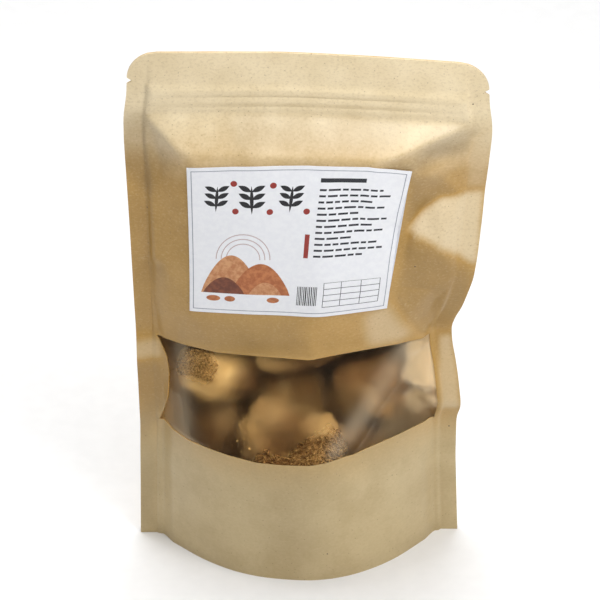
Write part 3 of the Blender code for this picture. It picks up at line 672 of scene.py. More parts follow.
BACK_CREASES = [
    *FRONT_CREASES[:4],
    ((-74, 231), (-44, 204), 0.9, 1.5), ((74, 230), (47, 206), 0.8, 1.5),
    ((-47, 207), (48, 208), 0.35, 2.0),
    ((-70, 58), (-36, 94), 0.8, 1.5), ((70, 56), (42, 88), 0.8, 1.5),
    ((-72, 126), (-34, 152), -0.6, 1.2), ((-72, 138), (-46, 150), 0.5, 1.0),
    ((74, 188), (34, 168), 0.7, 1.3), ((72, 160), (45, 166), -0.5, 1.2),
    ((72, 112), (40, 128), 0.6, 1.3), ((-19, 224), (-27, 132), 0.4, 2.2),
    ((17, 220), (25, 112), 0.35, 2.2), ((-54, 162), (-8, 175), 0.4, 1.1),
    ((4, 96), (42, 105), 0.35, 1.1), ((-36, 72), (10, 62), 0.35, 1.4),
    ((-60, 190), (-50, 172), 0.4, 0.9), ((50, 196), (60, 176), -0.4, 1.0),
]
# Shallow dents and swells, as (s, t, half width, half height, depth).
FRONT_DENTS = [
    (-66, 214, 5, 12, -1.2), (57, 212, 9, 6, -1.8), (62, 198, 9, 12, -1.2), (66, 128, 6, 9, -1.5),
]
# The paper's cockling, as (height, width, seed).
FRONT_COCKLES = [(0.35, 9, 3), (0.14, 3.5, 4), (0.05, 1.6, 5)]
BACK_COCKLES = [(0.9, 10, 13), (0.25, 3.5, 14), (0.06, 1.6, 15)]


def add_dent(depth, s, t, half_width, half_height, amount):
    away = ((Field.across - s) / half_width) ** 2 + ((Field.up - t) / half_height) ** 2
    depth += amount * np.exp(-away)


# Around the sticker the paper is smooth up to SMOOTH_TO and as rough as elsewhere from
# ROUGH_FROM. Its top edge bows up by about LABEL_TOP_BOW.
SMOOTH_TO = 1
ROUGH_FROM = 4
LABEL_TOP_BOW = 2
# How far the folds are rounded off: on each panel, under the sticker and at the pouch's foot.
FRONT_BLUR = 0.9
BACK_BLUR = 2.2
LABEL_BLUR = 2.5
FOOT_BLUR = 6


def under_label():
    """1 where the sticker holds the paper smooth and just beyond it, fading out around it."""
    beyond_s = np.maximum(LABEL_LEFT - Field.across, Field.across - LABEL_RIGHT)
    beyond_t = np.maximum(LABEL_LOW - Field.up, Field.up - LABEL_HIGH - LABEL_TOP_BOW)
    beyond = np.maximum(beyond_s, beyond_t)
    return np.clip((ROUGH_FROM - beyond) / (ROUGH_FROM - SMOOTH_TO), 0, 1)


def softened(sharp, width, foot):
    """The folds rounded off within a width, and far more below the two heights of the foot."""
    depth = blurred(sharp, width)
    return depth + np.interp(Field.up, foot, [1, 0]) * (blurred(sharp, FOOT_BLUR) - depth)


def cockled(swells):
    return sum(height * cockle(width, seed) for height, width, seed in swells)


def front_field():
    sharp = folded(FRONT_POINTS, FRONT_FOLDS, 1)
    depth = softened(sharp, FRONT_BLUR, [52, 62])
    for crease in FRONT_CREASES:
        add_crease(depth, *crease)
    for dent in FRONT_DENTS:
        add_dent(depth, *dent)
    depth += under_label() * (blurred(sharp, LABEL_BLUR) - depth)
    bare = 1 - 0.9 * under_label()
    return Field(depth + bare * cockled(FRONT_COCKLES))


def back_field():
    depth = softened(folded(BACK_POINTS, BACK_FOLDS, -1), BACK_BLUR, [48, 60])
    for crease in BACK_CREASES:
        add_crease(depth, *crease)
    return Field(depth + cockled(BACK_COCKLES))


def wave_at(s, t):
    near_left = np.clip((-s - WAVE_INNER) / (SEAL_LINE - WAVE_INNER), 0, 1)
    near_right = np.clip((s - WAVE_INNER) / (SEAL_LINE - WAVE_INNER), 0, 1)
    return near_left * rounded(LEFT_WAVE, t) + near_right * rounded(RIGHT_WAVE, t)


def layer_gap(t):
    """Half the gap between the panels at the seals: the folded bottom lies in it low down."""
    return np.interp(t, [GUSSET_TOP, CLOSED_FROM], [FOLDED_GAP, PANEL_GAP])


def refined(lines, step):
    """The grid lines with others between them, so that none is further than step from the next."""
    fine = [lines[0]]
    for low, high in zip(lines, lines[1:]):
        count = math.ceil((high - low) / step - 1e-6)
        fine += [low + (high - low) * k / count for k in range(1, count + 1)]
    return np.array(fine)


# Rows bend to the window's sill from this t up, and columns to its left side up to this s.
WINDOW_BENDS_FROM = 40
WINDOW_BENDS_TO = -50


def plan_grid(columns, rows):
    """Flat (s, t) of each grid corner, its lines bent to the window and to the outline."""
    s, t = np.meshgrid(columns, rows)
    from_sill = np.interp(t, [WINDOW_BENDS_FROM, SILL_ROW, LINTEL_ROW], [0, 1, 0])
    from_lintel = np.interp(t, [SILL_ROW, LINTEL_ROW, LABEL_LOW], [0, 1, 0])
    beside = np.interp(s, [-SEAL_LINE, WINDOW_LEFT, WINDOW_BENDS_TO], [0, 1, 0])
    bow = along(WINDOW_SIDE_BOW, t) * beside
    t = t + from_sill * (along(WINDOW_SILL, s) - SILL_ROW)
    t = t + from_lintel * (along(WINDOW_TOP, s) - LINTEL_ROW)
    s = s + bow
    beyond = np.maximum(np.abs(s) - STRAIGHT_INNER, 0)
    squeeze = (np.vectorize(half_width)(t) - STRAIGHT_INNER) / (HALF - STRAIGHT_INNER)
    return s - np.sign(s) * beyond * (1 - squeeze), t


def place(s, t, depth):
    height = t * top_height(s) / POUCH_HEIGHT
    left, right = rounded(LEFT_EDGE, t), rounded(RIGHT_EDGE, t)
    x = left + (s + HALF) / POUCH_WIDTH * (right - left)
    return np.stack([x, -depth + 0 * x, height], axis=-1)


def panel_depth(field, s, t, back=False):
    """How far forward the inner surface of a panel lies at flat places."""
    middle = wave_at(s, t)
    bulge = field.at(s, t) + (middle if back else -middle)
    unsealed = np.interp(np.abs(s), [FILM_END, SEAL_LINE], [1, 0])
    opening = OPENING * unsealed * np.interp(t, [STRIP_HIGH, NOTCH_HEIGHT], [1, 0])
    # The bulge begins beside the seals, gently low down and steeply above the window.
    eased = np.clip((SEAL_LINE - np.abs(s)) / np.interp(t, [100, 135], [9, 2.5]), 0, 1)
    out = np.maximum(bulge * eased * eased * (3 - 2 * eased), opening) + layer_gap(t)
    return middle - out if back else middle + out


def grid_normals(points):
    normal = np.cross(np.gradient(points, axis=1), np.gradient(points, axis=0))
    normal[points[..., 2] == 0, 2] = 0
    return normal / np.linalg.norm(normal, axis=-1, keepdims=True)


SHARP_FROM = math.radians(60)


def smooth_object(name, verts, faces, finishes):
    data = bpy.data.meshes.new(name)
    data.from_pydata([tuple(v) for v in verts], [], faces)
    for finish in finishes:
        data.materials.append(finish)
    data.shade_smooth()
    made = bpy.data.objects.new(name, data)
    bpy.context.scene.collection.objects.link(made)
    return made


def set_flat_map(made, flat):
    layer = made.data.uv_layers.new(name="flat")
    corner = np.zeros(len(made.data.loops), int)
    made.data.loops.foreach_get("vertex_index", corner)
    layer.data.foreach_set("uv", flat[corner].ravel())


def set_share(made, name, values):
    made.data.attributes.new(name, "FLOAT", "POINT").data.foreach_set(
        "value", np.asarray(values, np.float32)
    )


def rim_of(facets, count):
    """The edges that only one facet has, out of facets that join count points."""
    sides = facets.shape[1]
    edges = np.concatenate([facets[:, [k, (k + 1) % sides]] for k in range(sides)])
    backwards = edges[:, 1] * count + edges[:, 0]
    return edges[~np.isin(edges[:, 0] * count + edges[:, 1], backwards)]


def sheet_piece(name, points, s, t, thickness, finish, keep=None, flip=False, shares=None):
    """A closed thin sheet over the kept squares of a grid, with its flat place as UVs."""
    rows, columns = points.shape[:2]
    away = -grid_normals(points) if flip else grid_normals(points)
    both = np.concatenate([points.reshape(-1, 3), (points + away * thickness).reshape(-1, 3)])
    count = rows * columns
    low = np.arange(rows - 1)[:, None] * columns + np.arange(columns - 1)[None]
    low = low.ravel() if keep is None else low[keep]
    square = np.stack([low, low + 1, low + 1 + columns, low + columns], axis=1)
    if flip:
        square = square[:, ::-1]
    rim = rim_of(square, count)
    sides = np.stack([rim[:, 0], rim[:, 1], rim[:, 1] + count, rim[:, 0] + count], axis=1)
    faces = np.concatenate([square + count, square[:, ::-1], sides])
    used, faces_now = np.unique(faces, return_inverse=True)
    faces_now = faces_now.reshape(faces.shape)
    made = smooth_object(name, both[used] * MM, faces_now.tolist(), [finish])
    flat = np.stack([s, t], axis=-1).reshape(-1, 2)
    set_flat_map(made, np.concatenate([flat, flat])[used] * MM)
    for share_name, values in (shares or {}).items():
        set_share(made, share_name, np.tile(values.ravel(), 2)[used])
    sharpen(made)
    return made


def sharpen(made):
    """Edges of thin sheets stay crisp."""
    made.data.set_sharp_from_angle(angle=SHARP_FROM)


STRIP_LOW = 230.0
STRIP_HIGH = 243.0
CORNERS_FROM = 252.0
COLUMNS = [-HALF, -SEAL_LINE, -FILM_END, WINDOW_LEFT, WINDOW_RIGHT, FILM_END, SEAL_LINE, HALF]
ROWS = [
    0, SKIRT, GUSSET_TOP, CLOSED_FROM, SILL_ROW, LINTEL_ROW, LABEL_LOW, LABEL_HIGH, STRIP_LOW - 1,
    STRIP_HIGH, NOTCH_HEIGHT - NOTCH_HALF, NOTCH_HEIGHT, NOTCH_HEIGHT + NOTCH_HALF, POUCH_HEIGHT,
]


def fine_rows(step):
    """Rows up the panel, closer together at the press-to-close strip, the notches and the top."""
    rows = refined(ROWS, step)
    notch = refined([STRIP_HIGH, NOTCH_HEIGHT, NOTCH_HEIGHT + NOTCH_HALF + 0.8], 0.45)
    corner = refined([CORNERS_FROM, POUCH_HEIGHT], 0.7)
    strip = refined([STRIP_LOW, STRIP_HIGH], 0.55)
    between = rows[(rows > notch[-1]) & (rows < CORNERS_FROM)]
    chosen = [rows[rows < STRIP_LOW], strip, notch, between, corner]
    return np.unique(np.round(np.concatenate(chosen), 4))


# Paper starts to be rubbed pale at a bend of WEARS_FROM, and is rubbed most WEARS_OVER beyond it.
WEARS_FROM = 0.15
WEARS_OVER = 0.45
MOST_WEAR = 0.35
WEAR_BLUR = 0.7


def fold_wear(field, s, t):
    """Where the sheet bends sharply outwards the paper is rubbed pale."""
    bend = 0
    for axis in (0, 1):
        slope = np.gradient(field.values, FIELD_STEP, axis=axis)
        bend = bend - np.gradient(slope, FIELD_STEP, axis=axis)
    bent = Field(blurred(bend, WEAR_BLUR)).at(s, t)
    return np.clip((bent - WEARS_FROM) / WEARS_OVER, 0, 1) * MOST_WEAR


# Painted light and shade on the paper's facets and pressed bands, paler where the share is
# above 0 and darker where it is below: (outline, share, blur).
PAINTED_PAPER_SHADING = [
    (((47, 174), (50, 178), (55, 183), (61, 188), (68, 188), (79, 190), (80, 157), (74, 160),
      (66, 165), (57, 170)), 0.8, 1.2),
    (((33, 212), (40, 214), (46, 209), (46, 202), (34, 208)), -0.4, 1.5),
    (((42, 212), (54, 222), (68, 228), (74, 226), (71, 214), (58, 210), (48, 206)), -0.4, 2.5),
    (((46, 205), (59, 200), (68, 189), (60, 189), (52, 182), (46, 176)), -0.4, 1.5),
    (((46, 168), (57, 166), (66, 161), (73, 156), (78, 154), (80, 128), (79, 114), (66, 114),
      (50, 132), (46, 140)), -0.32, 2.0),
    (((32, 130), (42, 134), (50, 125), (59, 115), (51, 113), (38, 112)), 0.45, 2.0),
    (((74, 108), (80, 109), (80, 91), (79, 74), (71, 74), (71, 92)), 0.5, 1.0),
    (((-80, 106), (-68, 108), (-67, 100), (-80, 98)), 0.4, 1.2),
    (((-80, 96), (-67, 98), (-67, 76), (-75, 52), (-80, 52)), -0.3, 2.0),
    (((-80, 229), (-70, 230), (-64, 211), (-59, 210), (-70, 184), (-80, 198)), -0.3, 2.5),
    (((-52, 129), (0, 130), (6, 112), (-22, 110), (-58, 111)), -0.25, 3.0),
    (((-80, 186), (-72, 184), (-72, 112), (-80, 112)), -0.13, 1.5),
    (((-80, 52), (-73, 52), (-73, 4), (-80, 4)), -0.22, 2.0),
    (((-33, 228), (42, 229), (38, 219), (-3, 216), (-31, 215)), -0.22, 2.5),
    (((-22, 60), (16, 61), (13, 11), (-17, 10)), -0.2, 8.0),
    (((71, 220), (80, 225), (80, 193), (72, 192)), 0.3, 1.2),
]


def contains(outline, points):
    inside = np.zeros(len(points), bool)
    for (x0, y0), (x1, y1) in zip(outline, outline[1:] + outline[:1]):
        if y0 == y1:
            continue
        crosses = (y0 > points[:, 1]) != (y1 > points[:, 1])
        inside ^= crosses & (points[:, 0] < (x1 - x0) * (points[:, 1] - y0) / (y1 - y0) + x0)
    return inside


def shaded(outline, blur):
    """1 inside an outline over the plan and 0 outside it, with a soft edge."""
    places = np.stack([Field.across.ravel(), Field.up.ravel()], axis=-1)
    return blurred(contains(outline, places).reshape(Field.across.shape).astype(float), blur)


# The paper's painted light and shade over the plan.
def paper_painted_shading(s, t):
    return Field(sum(share * shaded(outline, blur) for outline, share, blur in PAINTED_PAPER_SHADING)).at(s, t)


def gusset_points(front, back, parts):
    """The folded bottom: a skirt inside each panel's rim and a ridge between them."""
    skirt_row = 1
    reach = GUSSET_GAP + PAPER
    front_low = front[:2] - grid_normals(front)[:2] * reach
    back_low = back[:2] + grid_normals(back)[:2] * reach
    front_low[0, :, 2] = back_low[0, :, 2] = 0
    half_depth = (back_low[skirt_row, :, 1] - front_low[skirt_row, :, 1]) / 2
    ridge = (front_low[skirt_row] + back_low[skirt_row]) / 2
    slope = GUSSET_HALF - SKIRT
    ridge[:, 2] = SKIRT + np.sqrt(np.maximum(slope**2 - half_depth**2, LEAST_RISE**2))
    sag = GUSSET_SAG * np.minimum(half_depth / np.max(half_depth), 1)

    def slope_lines(low, side):
        brow = ridge.copy()
        brow[:, 1] += side * np.minimum(half_depth, RIDGE_HALF)
        lines = [low[0], (low[0] + low[1]) / 2, low[1]]
        for part in parts:
            line = low[1] + (brow - low[1]) * part
            line[:, 2] -= sag * math.sin(math.pi * part)
            lines.append(line)
        return [*lines, brow]

    return np.array(slope_lines(front_low, -1) + slope_lines(back_low, 1)[::-1])


# The widest gaps between each sheet's grid lines, and the parts of each slope of the bottom.
FRONT_STEP = 1.1
BACK_STEP = 1.7
BACK_ROW_STEP = 1.8
FILM_STEP = 0.8
FOLD_PARTS = 25


def add_front_paper(front, kraft):
    columns, rows = refined(COLUMNS, FRONT_STEP), fine_rows(FRONT_STEP)
    s, t = plan_grid(columns, rows)
    points = place(s, t, panel_depth(front, s, t))
    middle_s, middle_t = (columns[:-1] + columns[1:]) / 2, (rows[:-1] + rows[1:]) / 2
    in_window = ((middle_s > WINDOW_LEFT) & (middle_s < WINDOW_RIGHT))[None] & (
        (middle_t > SILL_ROW) & (middle_t < LINTEL_ROW)
    )[:, None]
    piece = sheet_piece(
        "front_paper", points, s, t, PAPER, kraft, keep=~in_window,
        # The front carries its fold wear and its painted light and shade.
        shares={"worn": fold_wear(front, s, t), "pale_and_painted_shading": paper_painted_shading(s, t)},
    )
    ride_for(piece, "front_panel")


def add_back_paper(back, kraft):
    s, t = plan_grid(refined(COLUMNS, BACK_STEP), fine_rows(BACK_ROW_STEP))
    points = place(s, t, panel_depth(back, s, t, back=True))
    piece = sheet_piece(
        "back_paper", points, s, t, PAPER, kraft, flip=True,
        # The back is evenly paler and takes less of the painted light at its header and lower panel.
        shares={"worn": fold_wear(back, s, t), "pale_and_painted_shading": 0.25 + 0 * s, "even": 1 + 0 * s},
    )
    ride_for(piece, "back_panel")


def add_bottom_fold(front, back, kraft):
    """The folded bottom, drawn in at the sides with the panels as it rises between them."""
    s, t = plan_grid(refined(COLUMNS, BACK_STEP), np.array([0, SKIRT, SKIRT + 3.0]))
    low_front = place(s, t, panel_depth(front, s, t))
    low_back = place(s, t, panel_depth(back, s, t, back=True))
    parts = np.linspace(0, 1, FOLD_PARTS + 1)[1:-1]
    points = gusset_points(low_front, low_back, parts)
    height = points[..., 2] * POUCH_HEIGHT / top_height(s[0])
    drawn = place(s[0], height, 0 * s[0]) - place(s[0], np.minimum(height, SKIRT), 0 * s[0])
    points[..., 0] += drawn[..., 0]
    way = np.cumsum(np.linalg.norm(np.diff(points, axis=0, prepend=points[:1]), axis=-1), axis=0)
    piece = sheet_piece("bottom_fold_paper", points, s[0] + 0 * way, way, PAPER, kraft)
    ride_for(piece, "bottom_gusset")


def ride_for(piece, nodes):
    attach(piece, "root")
    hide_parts(nodes)


# Where the film is clouded white along its long folds, partly whitened and partly painted
# highlight, and a painted highlight on the crumpled end's tip, as (start, end, half width, share).
FILM_STREAKS_AND_HIGHLIGHTS = [
    ((-57, 112), (-57, 64), 4.0, 0.08), ((60, 111.5), (19, 70), 4.6, 0.1),
    ((66, 78.5), (68.5, 76), 2.2, 0.4),
]
# The crumpled right end, where the film lies on the paper behind it: painted highlights on its
# facets, tinted warm like the paper, as (outline, share).
FILM_HIGHLIGHT_PATCHES = [
    (((52.5, 96), (58.5, 105), (64, 106), (70, 106), (70, 83.3), (62.5, 84.4), (57.5, 88.7)), 0.45),
    (((65.5, 105), (71, 105), (71, 83.5), (63.5, 85)), 0.3),
    (((56, 105), (71, 105), (71, 113), (60, 113)), 0.3),
    (((52.5, 86), (57.5, 87), (66, 82), (69.5, 78), (67, 73.5), (58.5, 74), (53.5, 79)), 0.2),
    (((46, 92), (53, 86), (66, 74), (71, 70), (60, 64), (36, 64)), 0.05),
]


PATCH_BLUR = 1.4


def off_line(start, end):
    """How far each place of the plan lies from a line."""
    line = np.subtract(end, start)
    to_s, to_t = Field.across - start[0], Field.up - start[1]
    share = np.clip((to_s * line[0] + to_t * line[1]) / (line @ line), 0, 1)
    return np.hypot(to_s - share * line[0], to_t - share * line[1])


def film_clouding_and_highlights():
    """How clouded white the film is over the plan, painted highlights included, and how much of
    that is tinted warm like the paper behind it.
    """
    clouding_and_highlight, warm = np.zeros(Field.across.shape), np.zeros(Field.across.shape)
    for start, end, reach, share in FILM_STREAKS_AND_HIGHLIGHTS:
        clouding_and_highlight += (1 - clouding_and_highlight) * share * np.exp(-((off_line(start, end) / reach) ** 2))
    for outline, share in FILM_HIGHLIGHT_PATCHES:
        inside = shaded(outline, PATCH_BLUR)
        clouding_and_highlight += (1 - clouding_and_highlight) * share * inside
        warm = np.maximum(warm, inside)
    return Field(clouding_and_highlight), Field(warm)


TOUCHING = 1
CLEAR_OF = 5


def touched_by(points, things):
    """1 where a point touches one of the things, nearly, and 0 where it is clear of them."""
    tree = kdtree.KDTree(len(things))
    for i, thing in enumerate(things):
        tree.insert(thing, i)
    tree.balance()
    off = np.array([tree.find(point)[2] for point in points.reshape(-1, 3)])
    return np.clip((CLEAR_OF - off) / (CLEAR_OF - TOUCHING), 0, 1).reshape(points.shape[:-1])


def add_film(front, film, contents):
    columns = refined([-FILM_END, WINDOW_LEFT, WINDOW_RIGHT, FILM_END], FILM_STEP)
    rows = refined([CLOSED_FROM + 0.5, SILL_ROW, LINTEL_ROW, FILM_TOP], FILM_STEP)
    s, t = plan_grid(columns, rows)
    points = place(s, t, panel_depth(front, s, t))
    points = points - grid_normals(points) * (FILM + FILM_GAP)
    clouding_and_highlight, warm = film_clouding_and_highlights()
    touched = touched_by(points, contents)
    piece = sheet_piece(
        "film_sheet", points, s, t, FILM, film,
        shares={"clouding_and_highlight": clouding_and_highlight.at(s, t), "warm": warm.at(s, t), "touched": touched},
    )
    ride_for(piece, "window_film")


# ---------------------------------------------------------------- the sticker

LABEL_STEP = 1.1
LABEL_BRIDGE = 1.1


def box_shape(left, low, right, high):
    return [(left, low), (right, low), (right, high), (left, high)]


def oval(centre, wide, tall, count=28):
    angles = [2 * math.pi * k / count for k in range(count)]
    return [(centre[0] + wide * math.cos(a), centre[1] + tall * math.sin(a)) for a in angles]


def arch(centre, radius, steps=20):
    """Half a circle over its centre."""
    angles = [math.pi * k / steps for k in range(steps + 1)]
    return [(centre[0] + radius * math.cos(a), centre[1] + radius * math.sin(a)) for a in angles]


def leaf(root, tip, wide):
    """A pointed leaf between two places."""
    across = (root[1] - tip[1], tip[0] - root[0])
    ring = []
    for side in (1, -1):
        for k in range(8):
            way = k / 8 if side > 0 else 1 - k / 8
            out = side * wide * math.sin(math.pi * way) / math.hypot(*across)
            ring.append((
                root[0] + (tip[0] - root[0]) * way + across[0] * out,
                root[1] + (tip[1] - root[1]) * way + across[1] * out,
            ))
    return ring


def sprig(centre, size, lean):
    """A bold stalk with leaves in pairs and one at its tip."""
    x, y = centre
    shapes = [leaf((x, y - 6.5 * size), (x + lean * size, y + 6 * size), 0.75 * size)]
    for rise in (-3.6, 0.0, 3.4):
        for side in (-1, 1):
            root = (x + lean * size * (rise + 6.5) / 12.5, y + rise * size)
            tip = (root[0] + side * 5.2 * size, root[1] + 2.7 * size)
            shapes.append(leaf(root, tip, 1.15 * size))
    return [("black", shape) for shape in shapes]


def hill(left, right, low, tall):
    return [
        (left + (right - left) * k / 24, low + tall * math.sin(math.pi * k / 24) ** 0.8)
        for k in range(25)
    ]


def label_shapes():
    """The print, as (ink, outline) over the flat plan; later shapes lie over earlier ones."""
    shapes = [
        ("grey", box_shape(-50.9, 134.7, 43.0, 207.3)),
        ("white", box_shape(-50.5, 135.1, 42.6, 206.9)),
    ]
    rng = random.Random(8)

    def dashes(right, height):
        at = 6
        while at < right - 1.5:
            end = min(at + rng.uniform(2.2, 5.5), right)
            shapes.append(("ink", box_shape(at, height, end, height + 1.0)))
            at = end + 0.9

    # Hills under thin arcs, low on the left, with a few round stones before them.
    sun = (-27, 162)
    for radius in (13.0, 10.6, 8.2):
        shapes.append(("pink", arch(sun, radius) + arch(sun, radius - 0.45)[::-1]))
    for ink, left, right, tall in (("amber", -47, -18, 20), ("brown", -33, -4, 16),
                                   ("umber", -46, -26, 8.5), ("amber", -24, -8, 6.5)):
        shapes.append((ink, hill(left, right, 144, tall)))
    for x, wide in ((-41, 3.4), (-33, 2.6), (-12, 3.0)):
        shapes.append(("brown", oval((x, 141.2), wide, 1.5)))
    # Three sprigs in a row along the top, with berries between them.
    for centre, size, lean in (((-40, 193), 1.05, 0.8), ((-23.5, 192.5), 1.15, -0.6),
                               ((-6.5, 193), 1.05, 0.5)):
        shapes += sprig(centre, size, lean)
    for centre in ((-32, 200.5), (-31, 186.5), (-14.6, 199.5), (-15.4, 186.3), (1.2, 186.8)):
        shapes.append(("red", oval(centre, 1.5, 1.5, 16)))
    # A column of short lines on the right, under a heavy one.
    shapes.append(("ink", box_shape(6, 201.2, 26, 203.3)))
    for k, right in enumerate((34, 38, 30, 36, 27, 38, 33, 37, 24, 35, 38, 29)):
        dashes(right, 197.0 - 3.0 * k)
    shapes.append(("red", box_shape(1.4, 163.5, 3.6, 175.5)))
    # An empty ruled table and a block of stripes at the foot.
    shapes.append(("ink", box_shape(12.0, 138.0, 39.5, 151.0)))
    for k in range(4):
        low = 138.3 + 3.2 * k
        for left, right in ((12.3, 20.4), (20.7, 30.0), (30.3, 39.2)):
            shapes.append(("white", box_shape(left, low, right, low + 2.9)))
    at = -0.5
    for k in range(12):
        wide = rng.choice((0.35, 0.5, 0.65))
        shapes.append(("black", box_shape(at, 139.0, at + wide, 149.0)))
        at += wide + rng.choice((0.35, 0.45))
    return shapes


def subdivided(outline, step):
    """The outline with spots added, so that it follows the paper's bulge between its corners."""
    corners, finer = [Vector(spot) for spot in outline], []
    for k, corner in enumerate(corners):
        after = corners[(k + 1) % len(corners)]
        parts = max(math.ceil((after - corner).length / step), 1)
        finer += [corner.lerp(after, part / parts) for part in range(parts)]
    return finer


def add_label(front, inks):
    shapes = label_shapes()
    grid_s = np.linspace(LABEL_LEFT, LABEL_RIGHT, round((LABEL_RIGHT - LABEL_LEFT) / LABEL_STEP) + 1)
    grid_t = np.linspace(LABEL_LOW, LABEL_HIGH, round((LABEL_HIGH - LABEL_LOW) / LABEL_STEP) + 1)
    spots = [Vector((a, b)) for b in grid_t for a in grid_s]
    lines = []
    rim = box_shape(LABEL_LEFT, LABEL_LOW, LABEL_RIGHT, LABEL_HIGH)
    for outline in [rim] + [outline for _, outline in shapes]:
        outline = subdivided(outline, LABEL_STEP)
        start = len(spots)
        spots += outline
        lines += [(start + k, start + (k + 1) % len(outline)) for k in range(len(outline))]
    corners, _, facets, _, _, _ = delaunay_2d_cdt(spots, lines, [], 0, 1e-4)
    flat = np.array([tuple(corner) for corner in corners])
    facets = np.array(facets)
    middles = flat[facets].mean(axis=1)
    names = list(inks)
    ink = np.full(len(facets), names.index("white"))
    for name, outline in shapes:
        ink[contains(outline, middles)] = names.index(name)

    def bridging(s, t):
        """The sticker rests on the paper's heights and bridges what is narrow between them."""
        apart = (-LABEL_BRIDGE, 0, LABEL_BRIDGE)
        near = [(a, b) for a in apart for b in apart]
        return place(s, t, np.max([panel_depth(front, s + a, t + b) for a, b in near], axis=0))

    from_left = (flat[:, 0] - LABEL_LEFT) / (LABEL_RIGHT - LABEL_LEFT)
    from_low = (flat[:, 1] - LABEL_LOW) / (LABEL_HIGH - LABEL_LOW)
    s = flat[:, 0] + from_left * along(LABEL_RIGHT_OFF, flat[:, 1])
    t = flat[:, 1] + from_low * along(LABEL_TOP_OFF, flat[:, 0])
    step = 0.8
    surface, right, upper = bridging(s, t), bridging(s + step, t), bridging(s, t + step)
    normal = np.cross(right - surface, upper - surface)
    normal /= np.linalg.norm(normal, axis=1, keepdims=True)
    low = surface + normal * (PAPER + LABEL_LIFT)
    points = np.concatenate([low + normal * LABEL, low])
    count = len(flat)
    sides = [[b, a, a + count, b + count] for a, b in rim_of(facets, count).tolist()]
    faces = facets.tolist() + (facets[:, ::-1] + count).tolist() + sides
    piece = smooth_object("label_sheet", points * MM, faces, list(inks.values()))
    plain = [names.index("white")] * (len(facets) + len(sides))
    piece.data.polygons.foreach_set("material_index", ink.tolist() + plain)
    sharpen(piece)
    ride_for(piece, "label")


# ---------------------------------------------------------------- mushrooms

# Dried mushrooms: (centre, half sizes, axis towards the spiny side), in millimetres.
MUSHROOMS = {
    "mushroom_1": ((-6.9, -21, 46), (22, 14, 31), (0.5, -0.8, -0.1)),
    "mushroom_2": ((-39.4, 1.8, 91.1), (19, 12, 17), (-0.6, -0.6, 0.5)),
    "mushroom_3": ((-10.9, 20.7, 35.4), (21, 13, 25), (-0.2, 0.6, 0.7)),
    "mushroom_4": ((20.9, 4.4, 45.8), (14, 17, 19), (0.7, -0.4, 0.5)),
    "mushroom_5": ((-37.9, 6.1, 55.4), (12, 15, 19), (-0.8, 0.2, -0.4)),
    "mushroom_6": ((-8, 7, 72.3), (17, 15, 18.5), (0.2, -0.5, 0.8)),
    "mushroom_7": ((31.1, 2, 80.1), (13, 13, 18), (0.5, 0.6, 0.5)),
    "mushroom_8": ((1.5, 2, 109.7), (18, 12, 16), (-0.3, -0.5, 0.8)),
}
# How each is worked: (spines, subdivisions of its ball, where its spines begin, how pale, how
# long its spines are, the least gap that it keeps to the pouch).
DETAIL = {
    "mushroom_1": (6500, 6, 0.1, 0.4, 0.85, 0.2), "mushroom_2": (3600, 5, 0.74, 1.0, 0.4, 0.2),
    "mushroom_3": (1200, 5, 0.0, 0.4, 1, 3), "mushroom_4": (1800, 5, 0.0, 0.3, 1, 3),
    "mushroom_5": (1600, 5, -0.2, 0.2, 1, 3), "mushroom_6": (1200, 5, 0.7, 0.36, 1, 3),
    "mushroom_7": (2200, 5, -0.6, 0.3, 0.7, 5), "mushroom_8": (1800, 5, 0.4, 0.2, 1, 3),
}
# A mushroom whose top is bare has no spines above this height.
SPINY_UP_TO = {"mushroom_1": 77}
# Where each is pressed in, or swells out if below 0: (centre, radius, depth).
DENTS = {
    "mushroom_1": [
        ((-4, -33, 57), 20, -7), ((-25, -16, 71), 13, -17), ((-15, -16, 80), 12, -8),
        ((9, -18, 77), 13, -12), ((-12, -29, 73), 12, 11),
    ],
    "mushroom_2": [((-46, -7, 101), 8, -6)],
    "mushroom_7": [((19, -2, 86), 12, -9), ((17, 0, 74), 11, -8)],
    "mushroom_8": [((-13, -2, 101), 11, -13)],
}
# Where each is darker or paler than elsewhere: painted shade in its hollows and the gaps between
# lumps, and painted light on its lit parts, as (centre, radius, how pale).
PATCHES = {
    "mushroom_1": [
        ((-10, -23, 71), 15, 0.0), ((-31, -20, 77), 11, 0.45), ((-16, -20, 87), 9, 0.3),
        ((8, -24, 86), 9, 0.5), ((9, -33, 62), 13, 0.7),
    ],
    "mushroom_2": [((-27, -8, 86), 9, 0.1), ((-23, -3, 92), 12, 0.0), ((-48, -8, 100), 13, 1.5)],
    "mushroom_6": [((-18, -2, 88), 9, 0.05), ((-14, -8, 75), 9, 0.5)],
    "mushroom_7": [((20, -2, 86), 14, 0.12), ((15, -4, 74), 9, 0.3)],
    "mushroom_8": [((4, -6, 99), 13, 0.08), ((-22, -4, 100), 10, 0.8)],
}
# A spine has three rings of four points, as wide as these shares of its width, and a tip.
SPINE_RINGS = (1.0, 0.85, 0.5)
SPINE_FACES = [
    [ring + k, ring + (k + 1) % 4, ring + (k + 1) % 4 + 4, ring + k + 4]
    for ring in (0, 4) for k in range(4)
] + [[8 + k, 8 + (k + 1) % 4, 12] for k in range(4)]

